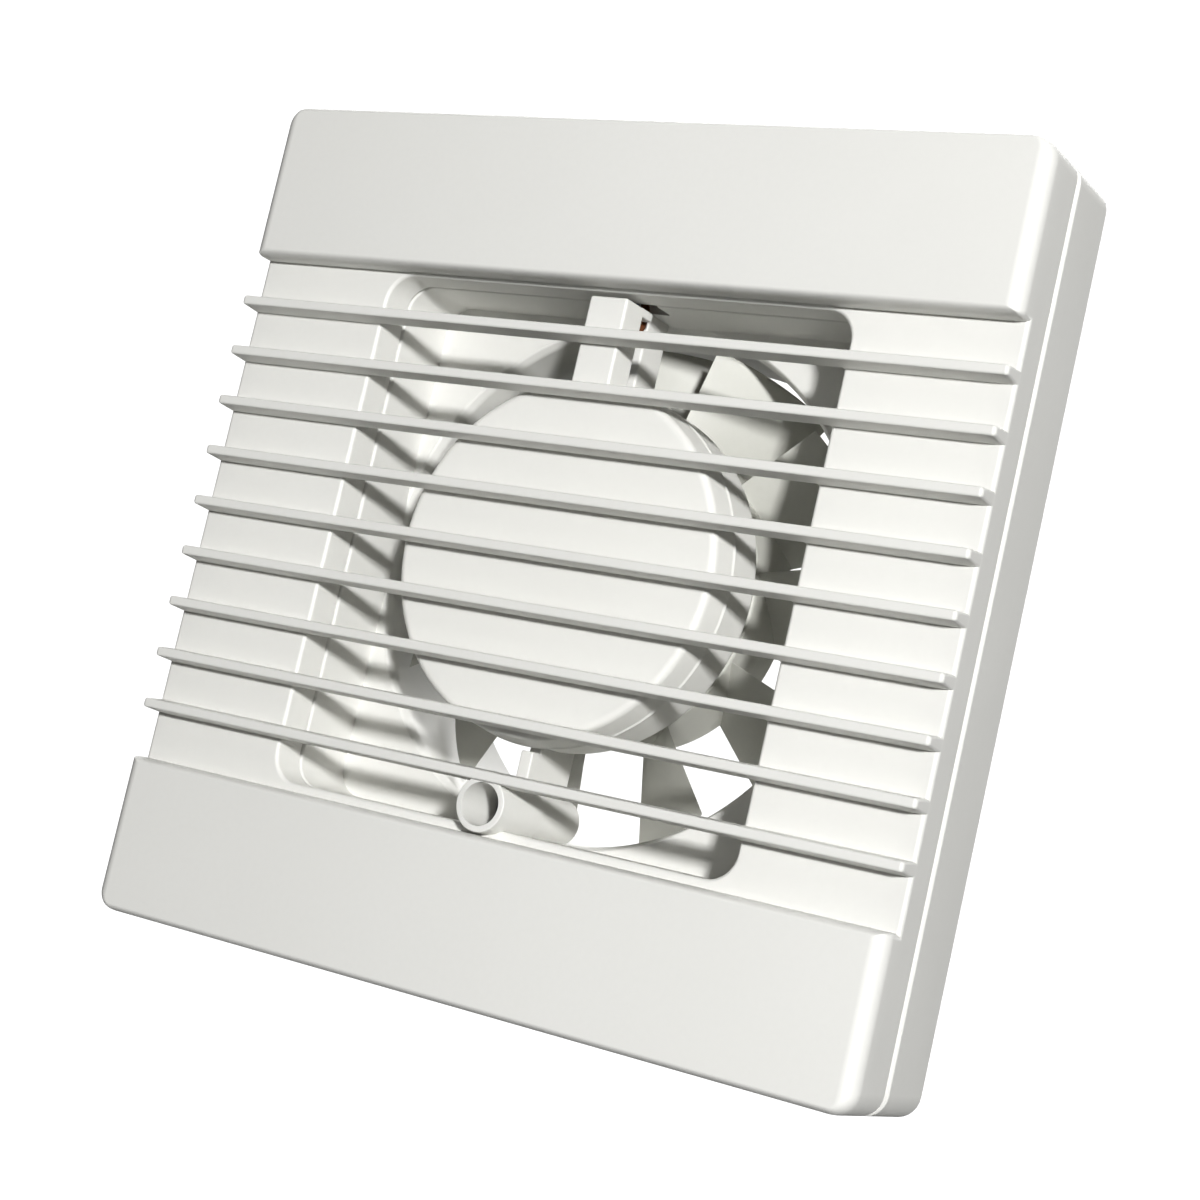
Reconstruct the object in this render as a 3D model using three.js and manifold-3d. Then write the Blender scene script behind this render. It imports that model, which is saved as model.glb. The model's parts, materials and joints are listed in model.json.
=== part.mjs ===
// Bathroom extractor fan with a slatted square front cover and a round duct spigot.
// Millimetres, +Z up. The front faces -Y and the duct runs towards +Y. The origin is where
// the duct's axis meets the wall plane, which is the back of the square casing. Most places
// along Y are given as depths behind the casing's front plane.
import * as THREE from 'three';
import { mergeVertices } from 'three/addons/utils/BufferGeometryUtils.js';
import Module from 'manifold-3d';

const wasm = await Module();
wasm.setup();

// Casing
const FACE = 152;               // width and height of the square casing
const HALF = FACE / 2;
const CASING_DEPTH = 26.8;      // front plane to wall plane
const SEAM = 13.7;              // depth of the joint between cover and base
const CORNER = 4;               // corner radius of the casing, seen from the front
const EDGE = 1.6;               // rounding of the cover's front edges
const SHEET = 2;                // wall thickness of the mouldings
const GAP = 0.3;                // clearance between pieces that touch
const TOP_BAND = 29;            // height of the plain band above the slats
const BOTTOM_BAND = 28;         // height of the plain band below the slats
const RECESS_TOP = HALF - TOP_BAND;
const RECESS_BOTTOM = BOTTOM_BAND - HALF;
const LUG_X = 44;               // lugs that locate the cover in the base

// Grille
const SLATS = 9;
const SLAT_PITCH = 9.56;
const SLAT_THICK = 2.1;         // at the slat's back edge
const SLAT_NOSE = 1.5;          // at the slat's front edge
const SLAT_CHAMFER = 0.4;
const SLAT_FRONT = 0.4;
const SLAT_BACK = 4.4;
const PLATE_FRONT = 4.8;        // depth of the recessed plate's front face
const OPENING = 93;             // square air opening in the plate
const OPENING_CORNER = 5;
const FLANGE = 1.6;             // thickness of the wall round the air opening
const BOSS_Z = -42.9;           // axis of the cover's fixing screw
const BOSS_R = 4.7;
const BOSS_FLOOR = 12.6;        // depth of the floor under the screw's head

// Base
const POST_FRONT = 14.3;        // depth where the cover's screw boss meets its post in the base
const BACK_PLATE = 2.2;
const FLOOR = CASING_DEPTH - BACK_PLATE;
const DUCT_R = 46.5;            // inner radius of the duct
const SPIGOT_R = 49;            // outer radius of the spigot, for a 100 mm duct
const SPIGOT_LENGTH = 28;       // wall plane to the spigot's end
const WALL_SCREW = 62;          // wall-fixing holes, left, right, up and down from the axis
const HOUSING_R = 31.3;         // round motor housing in the middle of the duct
const HOUSING_SHOULDER = 20;
const HOUSING_BACK = 25.2;
const HOUSING_BACK_R = 28.5;
const HOUSING_MOUTH_R = 13;     // hole in the housing's back for the bearing
const POST_BACK = 27;           // depth of the back of the cover screw's post, ahead of the blades
const ARM_THICK = 2.4;          // two arms hold the housing, above and below
const TOP_ARM = [17.2, 24.2];   // depths of the front and back edges of the arm behind the strut
const LOWER_ARM = [11.8, 25.2]; // and of the arm that runs down to the cover screw's post

// Motor cover
const CAP_FRONT = 5.5;
const CAP_R = 30.9;
const CAP_RIM_R = 31.5;
const CAP_WALL = 1.5;
const STRUT_WIDTH = 7.6;        // hollow strut that carries the motor's leads
const STRUT_WALL = 1.2;
const STRUT_REACH = [4.9, 11];

// Motor
const STACK = [11.8, 19.8];     // depths of the lamination stack's two faces
const STACK_MIDDLE = (STACK[0] + STACK[1]) / 2;
const STACK_THROUGH = [STACK[0] - 1, STACK[1] + 1];
const STACK_HALF = 19;
const STACK_TOP = 14;
const COIL_BAR = [-21, -14];    // the bar of the stack that the coil sits on, bottom and top
const COIL_MIDDLE = (COIL_BAR[0] + COIL_BAR[1]) / 2;
const COIL_HALF = 10.5;
const BOBBIN_WALL = 0.8;
const WINDING = 2.2;
const BORE_R = 9.2;
const ROTOR_R = 8.8;
const ROTOR_RING_R = 8.2;
const SHAFT_R = 2;
const BUSH_R = 3.2;
const FELT_R = 4.7;
const MOTOR_SCREW_X = 14.5;     // motor screws, left and right of the shaft
const SHADING_X = 12;           // slots for the copper shading rings
const SHADING_Z = 8;

// Impeller
const BLADES = 11;
const FIRST_BLADE = -66.3;      // angle of the first blade, degrees
const HUB_R = 28.2;
const TIP_R = 45;
const HUB_REACH = [26.6, 43.6];
const BLADE_WRAP = 25.3;        // angle that a blade turns through from front to back, degrees
const BLADE_THICK = 1.4;
const BLADE_STEPS = 4;

// Terminals and cable inlet
const TERMINAL = [27, 62];
const TERMINAL_WAYS = { live: 8, neutral: -8 };
const CLAMP = [-12, 61];
const CLAMP_SCREW_X = 8.5;
const INLET = [-34, 61];
const INLET_R = 5.4;

// Fasteners
const SHANK_R = 1.2;
const HOLE_R = SHANK_R + GAP;
const COVER_SHANK_R = 1.5;

// Sides of round shapes
const LARGE = 48;
const MIDDLE = 30;
const SMALL = 16;
const TINY = 10;

const MATERIALS = {
  casing: [0xeceae4, 0.42, 0],
  impeller: [0xdcdcd6, 0.45, 0],
  steel: [0xb4b6b8, 0.35, 1],
  laminations: [0x6c6f73, 0.5, 1],
  copper: [0xb5693a, 0.35, 1],
  bronze: [0x9c7a45, 0.55, 1],
  brass: [0xc8a24c, 0.35, 1],
  aluminium: [0xc9cbcd, 0.4, 1],
  bobbin: [0x2c2d30, 0.55, 0],
  felt: [0xd8cfae, 0.95, 0],
  terminal: [0xf2f1ea, 0.5, 0],
  rubber: [0x242424, 0.8, 0],
  brown: [0x6b3a1e, 0.5, 0],
  blue: [0x2356a0, 0.5, 0],
};

// ---- Tools for solids ----

const radians = THREE.MathUtils.degToRad;
const deep = (depth) => depth - CASING_DEPTH;

function manifoldOf(vertProperties, triVerts) {
  return new wasm.Manifold(new wasm.Mesh({ numProp: 3, vertProperties, triVerts }));
}

// A geometry as a solid, without its collapsed triangles and with its faces pointing out.
function solid(geometry) {
  const bare = geometry.clone();
  bare.deleteAttribute('normal');
  bare.deleteAttribute('uv');
  const merged = mergeVertices(bare, 1e-4);
  const index = merged.index.array;
  const kept = [];
  for (let i = 0; i < index.length; i += 3) {
    const [a, b, c] = [index[i], index[i + 1], index[i + 2]];
    if (a !== b && b !== c && c !== a) kept.push(a, b, c);
  }
  const points = merged.attributes.position.array;
  const body = manifoldOf(points, new Uint32Array(kept));
  return body.volume() > 0 ? body : manifoldOf(points, new Uint32Array(kept.reverse()));
}

function geometryOf(body) {
  const mesh = body.getMesh();
  const geometry = new THREE.BufferGeometry();
  geometry.setAttribute('position', new THREE.BufferAttribute(new Float32Array(mesh.vertProperties), 3));
  geometry.setIndex(new THREE.BufferAttribute(new Uint32Array(mesh.triVerts), 1));
  geometry.computeVertexNormals();
  return geometry;
}

const union = (bodies) => bodies.reduce((whole, body) => whole.add(body));
const cut = (body, tools) => body.subtract(union(tools));

// A box from its X limits, its front and back depths, and its Z limits, in any order.
function block([x0, x1], [front, back], [z0, z1]) {
  const box = new THREE.BoxGeometry(Math.abs(x1 - x0), Math.abs(back - front), Math.abs(z1 - z0));
  box.translate((x0 + x1) / 2, deep((front + back) / 2), (z0 + z1) / 2);
  return solid(box);
}

// A round bar along the duct's direction, which may taper towards its back.
function bar(radius, [front, back], [x, z] = [0, 0], sides = SMALL, backRadius = radius) {
  const rod = new THREE.CylinderGeometry(backRadius, radius, back - front, sides);
  rod.translate(x, deep((front + back) / 2), z);
  return solid(rod);
}

// A body turned about the duct's direction from an outline of [radius, depth] points.
function turned(outline, sides = LARGE, [x, z] = [0, 0]) {
  const points = outline.map(([radius, depth]) => new THREE.Vector2(radius, deep(depth)));
  points.push(points[0].clone());
  const geometry = new THREE.LatheGeometry(points, sides);
  geometry.translate(x, 0, z);
  return solid(geometry);
}

function ring(inner, outer, [front, back], sides = SMALL, centre = [0, 0]) {
  return turned([[inner, front], [outer, front], [outer, back], [inner, back]], sides, centre);
}

function roundedRectangle(halfWidth, halfHeight, radius) {
  const [x, y] = [halfWidth - radius, halfHeight - radius];
  const quarter = Math.PI / 2;
  const shape = new THREE.Shape();
  shape.absarc(x, -y, radius, -quarter, 0);
  shape.absarc(x, y, radius, 0, quarter);
  shape.absarc(-x, y, radius, quarter, 2 * quarter);
  shape.absarc(-x, -y, radius, 2 * quarter, 3 * quarter);
  return shape;
}

// An outline seen from the front, pushed from one depth to another. The bevel is on both ends.
function pushed(shape, [front, back], bevel = 0) {
  const geometry = new THREE.ExtrudeGeometry(shape, {
    depth: back - front - 2 * bevel,
    bevelEnabled: bevel > 0,
    bevelThickness: bevel,
    bevelSize: bevel,
    bevelOffset: -bevel,
    bevelSegments: 2,
    curveSegments: 4,
  });
  geometry.rotateX(Math.PI / 2);
  geometry.translate(0, deep(back - bevel), 0);
  return solid(geometry);
}

// An outline of [depth, z] points, drawn about a given place and run along X between two limits.
function runAcross(shape, [x0, x1], [depth, z]) {
  const settings = { depth: x1 - x0, bevelEnabled: false, curveSegments: 3 };
  const geometry = new THREE.ExtrudeGeometry(shape, settings);
  geometry.applyMatrix4(new THREE.Matrix4().makeBasis(
    new THREE.Vector3(0, 1, 0),
    new THREE.Vector3(0, 0, 1),
    new THREE.Vector3(1, 0, 0),
  ));
  geometry.translate(x0, deep(depth), z);
  return solid(geometry);
}

// A closed skin through rings of points. Every ring has the same, even, number of points.
function lofted(rings) {
  const count = rings[0].length;
  const index = [];
  for (let i = 0; i + 1 < rings.length; i += 1) {
    for (let j = 0; j < count; j += 1) {
      const [a, b] = [i * count + j, i * count + ((j + 1) % count)];
      index.push(a, b, b + count, a, b + count, a + count);
    }
  }
  const last = (rings.length - 1) * count;
  for (let j = 0; j < count / 2 - 1; j += 1) {
    const [a, b, c, d] = [j, j + 1, count - 2 - j, count - 1 - j];
    index.push(a, c, b, a, d, c);
    index.push(last + a, last + b, last + c, last + a, last + c, last + d);
  }
  const geometry = new THREE.BufferGeometry();
  geometry.setAttribute('position', new THREE.BufferAttribute(new Float32Array(rings.flat(2)), 3));
  geometry.setIndex(index);
  return solid(geometry);
}

const mirrored = (make) => [make(-1), make(1)];

// ---- Front cover ----

// A thin wedge with a blunt nose, which runs across the whole face, and its feet on the plate.
function slat(z) {
  const [nose, root] = [SLAT_NOSE / 2, SLAT_THICK / 2];
  const section = new THREE.Shape([
    new THREE.Vector2(SLAT_FRONT, SLAT_CHAMFER - nose),
    new THREE.Vector2(SLAT_FRONT + SLAT_CHAMFER, -nose),
    new THREE.Vector2(SLAT_BACK, -root),
    new THREE.Vector2(SLAT_BACK, root),
    new THREE.Vector2(SLAT_FRONT + SLAT_CHAMFER, nose),
    new THREE.Vector2(SLAT_FRONT, nose - SLAT_CHAMFER),
  ]);
  const feet = mirrored((side) => block(
    [side * (OPENING / 2), side * HALF],
    [SLAT_BACK - 0.2, PLATE_FRONT + 0.2],
    [z - root, z + root],
  ));
  return union([runAcross(section, [-HALF, HALF], [0, z]), ...feet]);
}

// A lug stands clear inside the cover's top or bottom wall and reaches back into the base.
function coverLug(x, wall) {
  const inward = -Math.sign(wall);
  const [near, far] = [wall + inward * 1.1, wall + inward * 2.7];
  return union([
    block([x - 6, x + 6], [1, SEAM + 5], [near, far]),
    block([x - 6, x + 6], [1, SEAM - 2], [wall - inward * 0.5, far]),
  ]);
}

function coverShell() {
  const inner = HALF - SHEET;
  const behind = SEAM + 1;
  const hollow = (front, low, high) => block([-inner, inner], [front, behind], [low, high]);
  const body = pushed(roundedRectangle(HALF, HALF, CORNER), [0, SEAM + EDGE], EDGE);
  return cut(body, [
    block([-HALF - 1, HALF + 1], [SEAM, SEAM + 2 * EDGE], [-HALF - 1, HALF + 1]),
    block([-HALF - 1, HALF + 1], [-1, PLATE_FRONT], [RECESS_BOTTOM, RECESS_TOP]),
    hollow(SHEET, RECESS_TOP + SHEET, inner),
    hollow(SHEET, -inner, RECESS_BOTTOM - SHEET),
    hollow(PLATE_FRONT + SHEET, -inner, inner),
  ]);
}

function frontCover() {
  const flangeBack = SEAM - 0.4;
  const half = OPENING / 2;
  const flange = pushed(
    roundedRectangle(half + FLANGE, half + FLANGE, OPENING_CORNER + FLANGE),
    [PLATE_FRONT, flangeBack],
  );
  const opening = pushed(roundedRectangle(half, half, OPENING_CORNER), [PLATE_FRONT - 1, SEAM + 1]);
  const framed = cut(union([coverShell(), flange]), [opening]);
  const slats = [];
  for (let i = 0; i < SLATS; i += 1) slats.push(slat((i - (SLATS - 1) / 2) * SLAT_PITCH));
  const lugs = [];
  for (const x of [-LUG_X, LUG_X]) lugs.push(...mirrored((side) => coverLug(x, side * (HALF - SHEET))));
  const boss = bar(BOSS_R, [1.2, POST_FRONT - GAP], [0, BOSS_Z]);
  const bossRib = block([-0.8, 0.8], [5, flangeBack], [-half - 1, BOSS_Z]);
  return cut(union([framed, ...slats, ...lugs, boss, bossRib]), [
    bar(BOSS_R - 1.2, [-1, BOSS_FLOOR], [0, BOSS_Z]),
    bar(COVER_SHANK_R + 0.4, [BOSS_FLOOR - 1, POST_FRONT + 1], [0, BOSS_Z]),
  ]);
}

// ---- Base ----

// Posts that stand up inside the base: where, how thick, how far, and the pilot hole in each.
const POSTS = [
  { at: [-MOTOR_SCREW_X, 0], radius: 3.2, reach: [21.4, HOUSING_BACK + 0.6], hole: HOLE_R },
  { at: [MOTOR_SCREW_X, 0], radius: 3.2, reach: [21.4, HOUSING_BACK + 0.6], hole: HOLE_R },
  { at: [0, BOSS_Z], radius: 4.2, reach: [POST_FRONT, POST_BACK], hole: COVER_SHANK_R + GAP },
  { at: [CLAMP[0] - CLAMP_SCREW_X, CLAMP[1]], radius: 2.6, reach: [20.6, FLOOR + 0.5], hole: HOLE_R },
  { at: [CLAMP[0] + CLAMP_SCREW_X, CLAMP[1]], radius: 2.6, reach: [20.6, FLOOR + 0.5], hole: HOLE_R },
  { at: TERMINAL, radius: 2.6, reach: [22, FLOOR + 0.5], hole: HOLE_R },
];

function tray() {
  const lip = [SEAM + GAP, SEAM + GAP + 1.3];
  const lipHalf = HALF - 0.7;
  const inner = HALF - SHEET - 0.3;
  const outer = union([
    pushed(roundedRectangle(lipHalf, lipHalf, CORNER), lip),
    pushed(roundedRectangle(HALF, HALF, CORNER), [lip[1] - 0.1, CASING_DEPTH]),
  ]);
  return cut(outer, [pushed(roundedRectangle(inner, inner, CORNER - 1), [SEAM - 1, FLOOR])]);
}

// The square wall that carries on from the cover's air opening to the back plate.
function frameWall() {
  const half = OPENING / 2;
  const [front, back] = [SEAM + GAP, FLOOR + 0.3];
  const outer = half + FLANGE;
  return cut(pushed(roundedRectangle(outer, outer, OPENING_CORNER + FLANGE), [front, back]), [
    pushed(roundedRectangle(half, half, OPENING_CORNER), [front - 1, back + 1]),
  ]);
}

function ductWall() {
  const end = CASING_DEPTH + SPIGOT_LENGTH;
  return turned([
    [DUCT_R + 0.8, FLOOR], [SPIGOT_R, FLOOR], [SPIGOT_R, CASING_DEPTH + 4], [SPIGOT_R - 0.5, end - 3],
    [SPIGOT_R - 1.2, end], [DUCT_R + 0.3, end], [DUCT_R, CASING_DEPTH + 8], [DUCT_R, FLOOR + 1.6],
  ]);
}

function motorHousing() {
  const wall = 1.6;
  return turned([
    [HOUSING_R, SEAM + GAP], [HOUSING_R, HOUSING_SHOULDER], [HOUSING_BACK_R, HOUSING_BACK],
    [HOUSING_MOUTH_R, HOUSING_BACK], [HOUSING_MOUTH_R, HOUSING_BACK - wall],
    [HOUSING_BACK_R - wall, HOUSING_BACK - wall], [HOUSING_R - wall, HOUSING_SHOULDER],
    [HOUSING_R - wall, SEAM + GAP],
  ]);
}

function housingArms() {
  const across = [-ARM_THICK / 2, ARM_THICK / 2];
  const start = HOUSING_R - 1;
  const nose = [-CAP_RIM_R - 0.9, BOSS_Z + BOSS_R + 0.5];
  return [
    block(across, TOP_ARM, [start, OPENING / 2 + 0.5]),
    block(across, [POST_FRONT, LOWER_ARM[1]], [-start, BOSS_Z + 3.4]),
    block(across, [LOWER_ARM[0], POST_FRONT + 0.1], nose),
  ];
}

function baseHousing() {
  const shell = cut(tray(), [bar(DUCT_R + 1, [FLOOR - 1, CASING_DEPTH + 1], [0, 0], LARGE)]);
  const posts = POSTS.map(({ at, radius, reach }) => bar(radius, reach, at));
  const pilots = POSTS.map(({ at, reach, hole }) => bar(hole, [reach[0] - 1, reach[1] + 0.4], at, TINY));
  const wallHoles = [];
  for (const x of [-WALL_SCREW, WALL_SCREW]) {
    for (const z of [-WALL_SCREW, WALL_SCREW]) {
      posts.push(bar(4.6, [FLOOR - 1.4, FLOOR + 0.5], [x, z]));
      wallHoles.push(bar(2.4, [FLOOR - 3, CASING_DEPTH + 1], [x, z], TINY));
    }
  }
  const wireNotch = block([-5.4, 5.4], [SEAM, 17], [OPENING / 2 - 1, OPENING / 2 + FLANGE + 1]);
  const inlet = bar(INLET_R, [FLOOR - 1, CASING_DEPTH + 1], INLET);
  const frame = union([shell, frameWall(), ductWall(), motorHousing(), ...housingArms(), ...posts]);
  return cut(frame, [...wallHoles, ...pilots, wireNotch, inlet]);
}

// Round cap over the motor, with the hollow strut that carries the motor's leads.
function motorCover() {
  const rim = SEAM - 0.1;
  const lip = HOUSING_R - 1.9;
  const cap = turned([
    [0, CAP_FRONT], [CAP_R - 1, CAP_FRONT], [CAP_R, CAP_FRONT + 1], [CAP_RIM_R, rim - 0.5],
    [CAP_RIM_R + 0.3, rim], [lip, rim], [lip, rim + 3], [lip - 0.9, rim + 3], [lip - 0.9, 11],
    [CAP_R - CAP_WALL, 9.5], [CAP_R - CAP_WALL, CAP_FRONT + CAP_WALL], [0, CAP_FRONT + CAP_WALL],
  ]);
  const half = STRUT_WIDTH / 2;
  const top = OPENING / 2 - 0.8;
  const strut = block([-half, half], STRUT_REACH, [CAP_R - 2, top]);
  const foot = block([-half, half], [STRUT_REACH[1] - 1, POST_FRONT - GAP], [top - 1.6, top]);
  const channel = block(
    [STRUT_WALL - half, half - STRUT_WALL],
    [CAP_FRONT + CAP_WALL - 0.6, 17],
    [20, top - 1.8],
  );
  return cut(union([cap, strut, foot]), [channel]);
}

// ---- Motor ----

function statorCore() {
  const middle = (STACK_TOP + COIL_BAR[0]) / 2;
  const outline = roundedRectangle(STACK_HALF, (STACK_TOP - COIL_BAR[0]) / 2, 3);
  const plate = pushed(outline, STACK).translate([0, 0, middle]);
  const coilSpace = [-COIL_HALF - 0.9, COIL_HALF + 0.9];
  return cut(plate, [
    bar(BORE_R, STACK_THROUGH, [0, 0], MIDDLE),
    block(coilSpace, STACK_THROUGH, [COIL_BAR[1], -BORE_R - 1.2]),
    ...mirrored((side) => bar(HOLE_R, STACK_THROUGH, [side * MOTOR_SCREW_X, 0], TINY)),
    ...mirrored((side) => block(
      [side * (SHADING_X - 1.1), side * (SHADING_X + 1.1)],
      STACK_THROUGH,
      [SHADING_Z - 2.6, SHADING_Z + 2.6],
    )),
    ...mirrored((side) => block(
      [side * (SHADING_X + 3.2), side * (STACK_HALF + 1)],
      STACK_THROUGH,
      [SHADING_Z - 2.1, STACK_TOP + 1],
    )),
  ]);
}

// A copper loop round the outer part of one pole.
function shadingRing(side) {
  const loop = block(
    [side * (SHADING_X - 0.7), side * (SHADING_X + 4.9)],
    [STACK[0] - 1.5, STACK[1] + 1.5],
    [SHADING_Z - 0.8, SHADING_Z + 0.8],
  );
  return cut(loop, [block(
    [side * (SHADING_X + 0.7), side * (SHADING_X + 3.6)],
    [STACK[0] - GAP, STACK[1] + GAP],
    [SHADING_Z - 2, SHADING_Z + 2],
  )]);
}

const COIL_DEEP = STACK_MIDDLE - STACK[0] + GAP;
const COIL_HIGH = (COIL_BAR[1] - COIL_BAR[0]) / 2 + GAP;

function coilBobbin() {
  const sleeve = (limits, grow) => block(
    limits,
    [STACK_MIDDLE - COIL_DEEP - grow, STACK_MIDDLE + COIL_DEEP + grow],
    [COIL_MIDDLE - COIL_HIGH - grow, COIL_MIDDLE + COIL_HIGH + grow],
  );
  const cheeks = mirrored((side) => sleeve(
    [side * (COIL_HALF - BOBBIN_WALL), side * COIL_HALF],
    BOBBIN_WALL + WINDING,
  ));
  const tube = sleeve([-COIL_HALF, COIL_HALF], BOBBIN_WALL);
  return cut(union([tube, ...cheeks]), [sleeve([-COIL_HALF - 1, COIL_HALF + 1], 0)]);
}

function coilWinding() {
  const core = BOBBIN_WALL + GAP;
  const grow = BOBBIN_WALL + WINDING - GAP;
  const half = COIL_HALF - BOBBIN_WALL - GAP;
  const section = roundedRectangle(COIL_DEEP + grow, COIL_HIGH + grow, 1.6);
  section.holes.push(roundedRectangle(COIL_DEEP + core, COIL_HIGH + core, 0.3));
  return runAcross(section, [-half, half], [STACK_MIDDLE, COIL_MIDDLE]);
}

function thermalCutout() {
  const section = new THREE.Shape();
  section.absarc(0, 0, 1.2, 0, 2 * Math.PI);
  const below = COIL_MIDDLE - COIL_HIGH - BOBBIN_WALL - WINDING - 1.4;
  return runAcross(section, [-4, 4], [STACK_MIDDLE, below]);
}

// A stamped strap over one end of the rotor: two feet on the stack and a raised seat for the bush.
function bearingBracket(foot, bridge, seat) {
  const height = [-4, 4];
  const [legIn, legOut, footOut] = [9.6, 10.8, 18.2];
  const reach = [Math.min(foot[0], bridge[0]), Math.max(foot[1], bridge[1])];
  const seatR = FELT_R + GAP;
  return cut(union([
    block([-legOut, legOut], bridge, height),
    ...mirrored((side) => block([side * legIn, side * footOut], foot, height)),
    ...mirrored((side) => block([side * legIn, side * legOut], reach, height)),
    bar(seatR + 1.2, seat),
  ]), [
    bar(seatR, [seat[0] - 1, seat[1] + 1]),
    ...mirrored((side) => bar(HOLE_R, [foot[0] - 1, foot[1] + 1], [side * MOTOR_SCREW_X, 0], TINY)),
  ]);
}

// A pan-head screw with a cross recess, whose head faces the front.
function screw(at, head, headR, shankR, tip) {
  const [x, z] = at;
  const long = headR * 0.55;
  const short = 0.35;
  const recess = [head[0] - 1, head[0] + (head[1] - head[0]) * 0.6];
  return cut(union([
    bar(headR * 0.8, head, at, SMALL, headR),
    bar(shankR, [head[1] - 0.1, tip], at, TINY, shankR * 0.7),
  ]), [
    block([x - long, x + long], recess, [z - short, z + short]),
    block([x - short, x + short], recess, [z - long, z + long]),
  ]);
}

// ---- Impeller ----

// One section of a blade at a radius: front to back on one face, and back to front on the other.
function bladeSection(radius, angle) {
  const share = (radius - HUB_R) / (TIP_R - HUB_R);
  const front = HUB_REACH[0] + 0.5 + 0.9 * share;
  const back = HUB_REACH[1] - 2.4;
  const near = [];
  const far = [];
  for (let i = 0; i <= BLADE_STEPS; i += 1) {
    const along = i / BLADE_STEPS;
    const swell = Math.sin(Math.PI * along);
    const turn = radians(angle + BLADE_WRAP * (0.5 - along + 0.03 * swell));
    const thick = BLADE_THICK * (0.5 + 0.5 * swell) * (1.15 - 0.3 * share);
    const half = (0.65 * thick) / radius;
    const y = deep(front + (back - front) * along);
    near.push([radius * Math.cos(turn - half), y, radius * Math.sin(turn - half)]);
    far.push([radius * Math.cos(turn + half), y, radius * Math.sin(turn + half)]);
  }
  return [...near, ...far.reverse()];
}

function blade(angle) {
  const rings = [];
  const steps = 4;
  const root = HUB_R - 1;
  for (let i = 0; i <= steps; i += 1) rings.push(bladeSection(root + ((TIP_R - root) * i) / steps, angle));
  return lofted(rings);
}

function impeller() {
  const [front, back] = HUB_REACH;
  const bossFront = 31.6;
  const hub = turned([
    [HUB_R - 1.8, front], [HUB_R, front], [HUB_R, back - 3], [HUB_R - 3, back],
    [SHAFT_R + GAP, back], [SHAFT_R + GAP, bossFront], [5, bossFront], [5.4, back - 2],
    [HUB_R - 3.6, back - 2], [HUB_R - 1.8, back - 3.8],
  ], MIDDLE);
  const blades = [];
  for (let i = 0; i < BLADES; i += 1) blades.push(blade(FIRST_BLADE + (i * 360) / BLADES));
  return union([hub, ...blades]);
}

// ---- Terminals, cable inlet and leads ----

const WAY_DEEP = [14.6, 19.6];

function terminalBlock() {
  const [x, z] = TERMINAL;
  const ways = Object.values(TERMINAL_WAYS).flatMap((offset) => [
    bar(2.4, [11, 15], [x + offset, z]),
    block([x + offset - 2.4, x + offset + 2.4], WAY_DEEP, [z - 7, z + 7]),
  ]);
  return cut(block([x - 14, x + 14], [12, 21.7], [z - 6, z + 6]), [
    ...ways,
    bar(3, [11, 14.5], TERMINAL),
    bar(HOLE_R, [14, 23], TERMINAL, TINY),
  ]);
}

// A brass sleeve with a bore for the wire and a threaded hole for its screw.
function terminalInsert(offset) {
  const [x, z] = [TERMINAL[0] + offset, TERMINAL[1]];
  const bore = new THREE.CylinderGeometry(1.4, 1.4, 14, TINY);
  bore.rotateX(Math.PI / 2);
  bore.translate(x, deep(17.3), z);
  const sleeve = block([x - 2.1, x + 2.1], [WAY_DEEP[0] + GAP, WAY_DEEP[1] - GAP], [z - 5.4, z + 5.4]);
  return cut(sleeve, [solid(bore), bar(HOLE_R, [13, 17], [x, z], TINY)]);
}

function cableClamp() {
  const [x, z] = CLAMP;
  return cut(union([
    block([x - 11.5, x + 11.5], [18, 20.3], [z - 3.4, z + 3.4]),
    block([x - 5, x + 5], [20, 21.6], [z - 1, z + 1]),
  ]), mirrored((side) => bar(HOLE_R, [17, 22], [x + side * CLAMP_SCREW_X, z], TINY)));
}

function cableGrommet() {
  const bore = 3.6;
  return turned([
    [bore, FLOOR - 1.8], [INLET_R + 1.4, FLOOR - 1.8], [INLET_R + 1.4, FLOOR - GAP],
    [INLET_R - GAP, FLOOR - GAP], [INLET_R - GAP, CASING_DEPTH - 0.2], [bore, CASING_DEPTH - 0.2],
  ], SMALL, INLET);
}

// A lead from the coil, round the rotor, up the strut and across to its terminal.
function lead(side, offset) {
  const x = side * 1.1;
  const end = TERMINAL[0] + offset;
  const low = TERMINAL[1] - 4;
  const path = new THREE.CatmullRomCurve3([
    [side * 13, 10.1, -15], [side * 19.6, 10.1, -8.5], [side * 22.4, 10, 2], [side * 19.5, 9.7, 11.5],
    [side * 11, 9.2, 20], [side * 3.2, 8.9, 25.5], [x, 8.8, 30], [x, 8.9, 36], [x, 11.2, 40.4],
    [x, 14.6, 42.6], [x, 15.7, 45.6], [x * 1.3, 15.8, 49], [x + 0.3 * end, 16.6, 51.4 - side],
    [end - 4.5, 17.2, 51.8 - side], [end - 0.4, 17.3, 54], [end, 17.3, low],
  ].map(([px, depth, pz]) => new THREE.Vector3(px, deep(depth), pz)));
  const section = new THREE.Shape();
  section.absarc(0, 0, 0.75, 0, 2 * Math.PI);
  return solid(new THREE.ExtrudeGeometry(section, {
    steps: 32,
    extrudePath: path,
    bevelEnabled: false,
    curveSegments: 4,
  }));
}

// ---- Assembly ----

const fan = new THREE.Group();

function place(name, material, body) {
  const [color, roughness, metalness] = MATERIALS[material];
  const finish = new THREE.MeshStandardMaterial({ color, roughness, metalness });
  const mesh = new THREE.Mesh(geometryOf(body), finish);
  mesh.name = name;
  fan.add(mesh);
}

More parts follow.
